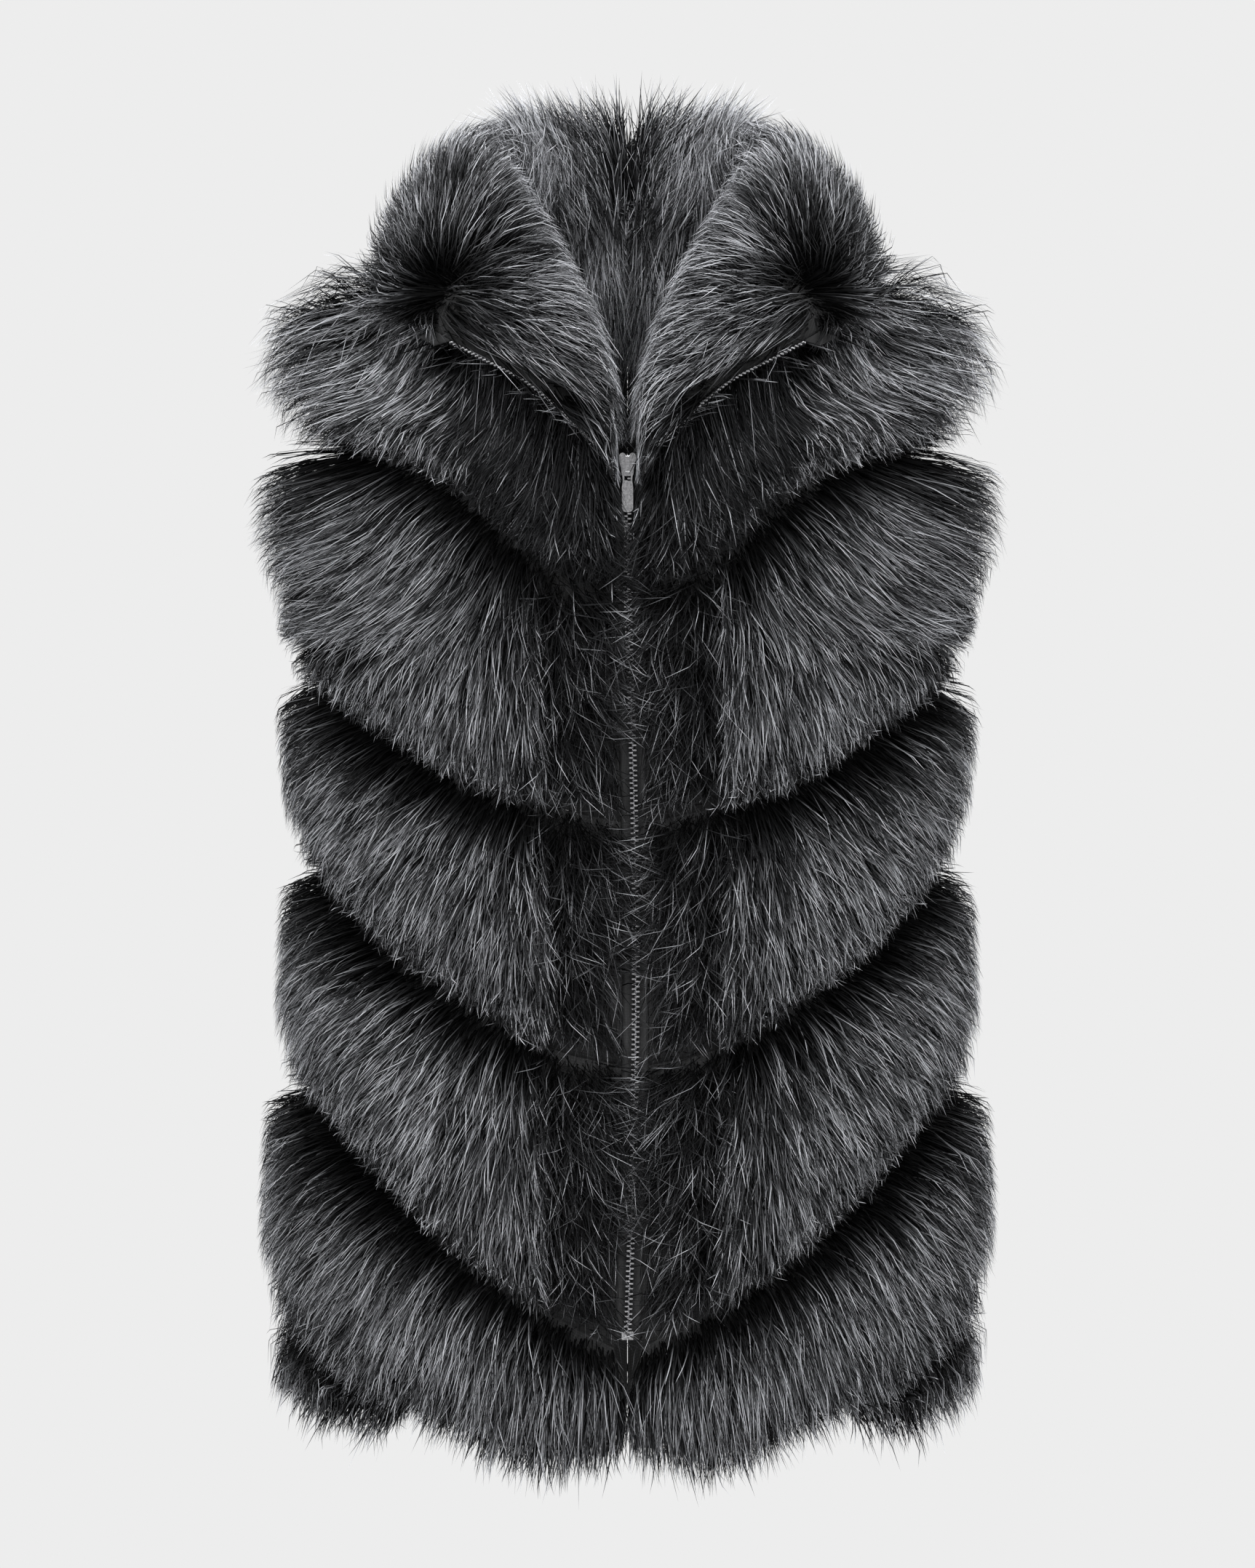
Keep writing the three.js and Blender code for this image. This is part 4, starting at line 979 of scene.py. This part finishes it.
def addTeeth(name, places, outs, ups, fronts, side, node):
    # One tooth at each place: across, up and lift run along the place's own three ways.
    shape, quads, caps = toothShape()
    points = (places[:, None] + shape[None, :, 0:1] * outs[:, None] + shape[None, :, 1:2] * ups[:, None]
              + shape[None, :, 2:3] * fronts[:, None])
    first = (np.arange(len(places)) * len(shape))[:, None, None]
    quads, caps = (first + quads).reshape(-1, 4), (first + caps).reshape(-1, 8)
    # Across, up and front make a left-handed set on the left half, so its faces are turned round.
    if side > 0:
        quads, caps = quads[:, ::-1], caps[:, ::-1]
    obj = meshObject(name, mirrored(points.reshape(-1, 3), side), [quads, caps], smoothFaces=False)
    obj.data.materials.append(metalMaterial)
    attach(obj, "vest")
    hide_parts(node)
    return obj


def zipLine(side, z, lift):
    point = bodyPoint("front", 0 * z, z)
    return np.stack([side * wander(z), point[..., 1] - lift, z], -1)


for side, sideName in sides:
    heights = np.arange(vest["zipTop"] - 1.2, vest["zipEnd"] + 6, -zipDims["pitch"])
    heights = heights - (0 if side > 0 else zipDims["pitch"] / 2)
    places = zipLine(side, heights, zipDims["tape"] + vest["gap"])
    ways = np.ones(len(heights))[:, None]
    addTeeth("teeth_closed_" + sideName, places, ways * [1, 0, 0], ways * [0, 0, 1], ways * [0, -1, 0],
             side, "zip_teeth_" + sideName)
    z = np.linspace(vest["zipTop"], vest["zipEnd"], 60)
    line = zipLine(side, z, 0)
    reach = np.linspace(vest["gap"] / 2, vest["zipChannel"] - vest["gap"], 5)
    grid = line[:, None] + reach[None, :, None] * np.array([1, 0, 0])
    tape, (width, length, area) = addCloth("cloth_zip_tape_" + sideName, "zip_tape_" + sideName, grid,
                                           grid * 0 + [0, -1, 0], 1.1, side, tapeMaterial)

    # The open row runs along the collar's free edge, from its corner down to the slider.
    s = np.linspace(0, 2, 17)
    fine = np.linspace(zipDims["openFrom"], zipDims["openTo"], 400)
    edge = along(s, middle[-1], fine)
    distance = np.concatenate([[0], np.cumsum(np.linalg.norm(np.diff(edge, axis=0), axis=1))])
    marks = np.interp(np.arange(0.5, distance[-1], zipDims["pitch"]), distance, fine)
    places, outs = along(s, middle[-1], marks), unit(along(s, edgeOut, marks))
    ahead = unit(np.gradient(places, axis=0))
    fronts = unit(along(s, edgeFront, marks))
    ups = unit(np.cross(fronts, outs))
    addTeeth("teeth_open_" + sideName, places + outs * 1.2, outs, ups, fronts, side, "zip_open_row_" + sideName)
    marks = np.linspace(1.5, 1.55, 7)
    row, outs = along(s, middle[-1], marks), unit(along(s, edgeOut, marks))
    fronts = unit(along(s, edgeFront, marks))
    grid = row[:, None] + outs[:, None] * np.linspace(0.4, 12, 8)[None, :, None] - fronts[:, None] * 0.9
    outward = np.broadcast_to(fronts[:, None], grid.shape)
    end, (width, length, area) = addCloth("cloth_tape_end_" + sideName, "zip_tape_end_" + sideName, grid,
                                          outward, 1.3, side, tapeMaterial)

for node in ("zip_bottom_stop", "zip_slider", "pull_tab"):
    obj = frame["nodes"][node]
    obj.data.materials.clear()
    obj.data.materials.append(metalMaterial)
print("zip made")
pile = [o.data for o in bpy.data.objects if o.name.startswith("fur_")]
print("pile:", sum(len(mesh.loops) - 2 * len(mesh.polygons) for mesh in pile), "triangles")

# Studio

studio = {"distance": 8.0, "frameHeight": 0.9594, "middle": -0.3284, "floor": -1.4, "floorSize": 6.0,
          "background": 0.847, "fill": 0.34, "floorGlow": 0.79}
camera = bpy.data.cameras.new("camera")
camera.lens = camera.sensor_width * studio["distance"] / studio["frameHeight"]
cameraObject = bpy.data.objects.new("camera", camera)
cameraObject.location = (0, -studio["distance"], studio["middle"])
cameraObject.rotation_euler = (math.pi / 2, 0, 0)
camera.clip_end = 100
bpy.context.scene.collection.objects.link(cameraObject)
bpy.context.scene.camera = cameraObject

turn = np.linspace(0, 2 * np.pi, 64, endpoint=False)
disc = np.column_stack([np.cos(turn), np.sin(turn), 0 * turn]) * studio["floorSize"]
disc[:, 2] = studio["floor"]
floor = meshObject("floor", disc / millimetre, [np.arange(64)[None, :]])
floorMaterial, floorTree, floorShader = newMaterial("studioFloor", Roughness=0.9)
floorPlace = addNode(floorTree, "ShaderNodeTexCoord")
floorNoise = addNode(floorTree, "ShaderNodeTexNoise", {"Vector": floorPlace.outputs["Object"], "Scale": 3.0})
floorTree.links.new(addRamp(floorTree, floorNoise.outputs["Fac"], [(0.3, grey(0.09, 1)), (0.7, grey(0.1, 1))]),
                    floorShader.inputs["Base Color"])
floorShader.inputs["Specular IOR Level"].default_value = 0
floorShader.inputs["Emission Color"].default_value = (1, 1, 1, 1)
floorShader.inputs["Emission Strength"].default_value = studio["floorGlow"]
floor.data.materials.append(floorMaterial)
floor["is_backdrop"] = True

lamps = {  # place, size, watts
    "keyLeft": ((-2.0, -2.6, 2.2), 1.2, 100), "keyRight": ((2.0, -2.6, 2.2), 1.2, 100),
    "top": ((0, 0.4, 2.6), 1.6, 50),
    "rimLeft": ((-2.4, 2.0, 1.6), 1.2, 60), "rimRight": ((2.4, 2.0, 1.6), 1.2, 60),
}
for name, (place, size, watts) in lamps.items():
    lamp = bpy.data.lights.new(name, "AREA")
    lamp.size, lamp.energy = size, watts
    lampObject = bpy.data.objects.new(name, lamp)
    lampObject.location = place
    aim = np.array([0, 0, -0.3]) - np.array(place)
    tilt = math.acos(-aim[2] / np.linalg.norm(aim))
    lampObject.rotation_euler = (tilt, 0, math.atan2(aim[1], aim[0]) - math.pi / 2)
    bpy.context.scene.collection.objects.link(lampObject)

world = bpy.data.worlds.new("studio")
bpy.context.scene.world = world
world.use_nodes = True
worldTree = world.node_tree
worldTree.nodes.clear()
path = worldTree.nodes.new("ShaderNodeLightPath")
seen = addNode(worldTree, "ShaderNodeBackground", {"Color": (1, 1, 1, 1), "Strength": studio["background"]})
filled = addNode(worldTree, "ShaderNodeBackground", {"Color": (1, 1, 1, 1), "Strength": studio["fill"]})
mixed = addNode(worldTree, "ShaderNodeMixShader",
                {0: path.outputs["Is Camera Ray"], 1: filled.outputs[0], 2: seen.outputs[0]})
ending = worldTree.nodes.new("ShaderNodeOutputWorld")
worldTree.links.new(mixed.outputs[0], ending.inputs["Surface"])
bpy.context.scene.view_settings.view_transform = "Standard"
print("studio made")

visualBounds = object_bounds()
sizes = {"cad": [list(map(float, corner)) for corner in cadBounds],
         "visual": [list(map(float, corner)) for corner in visualBounds]}
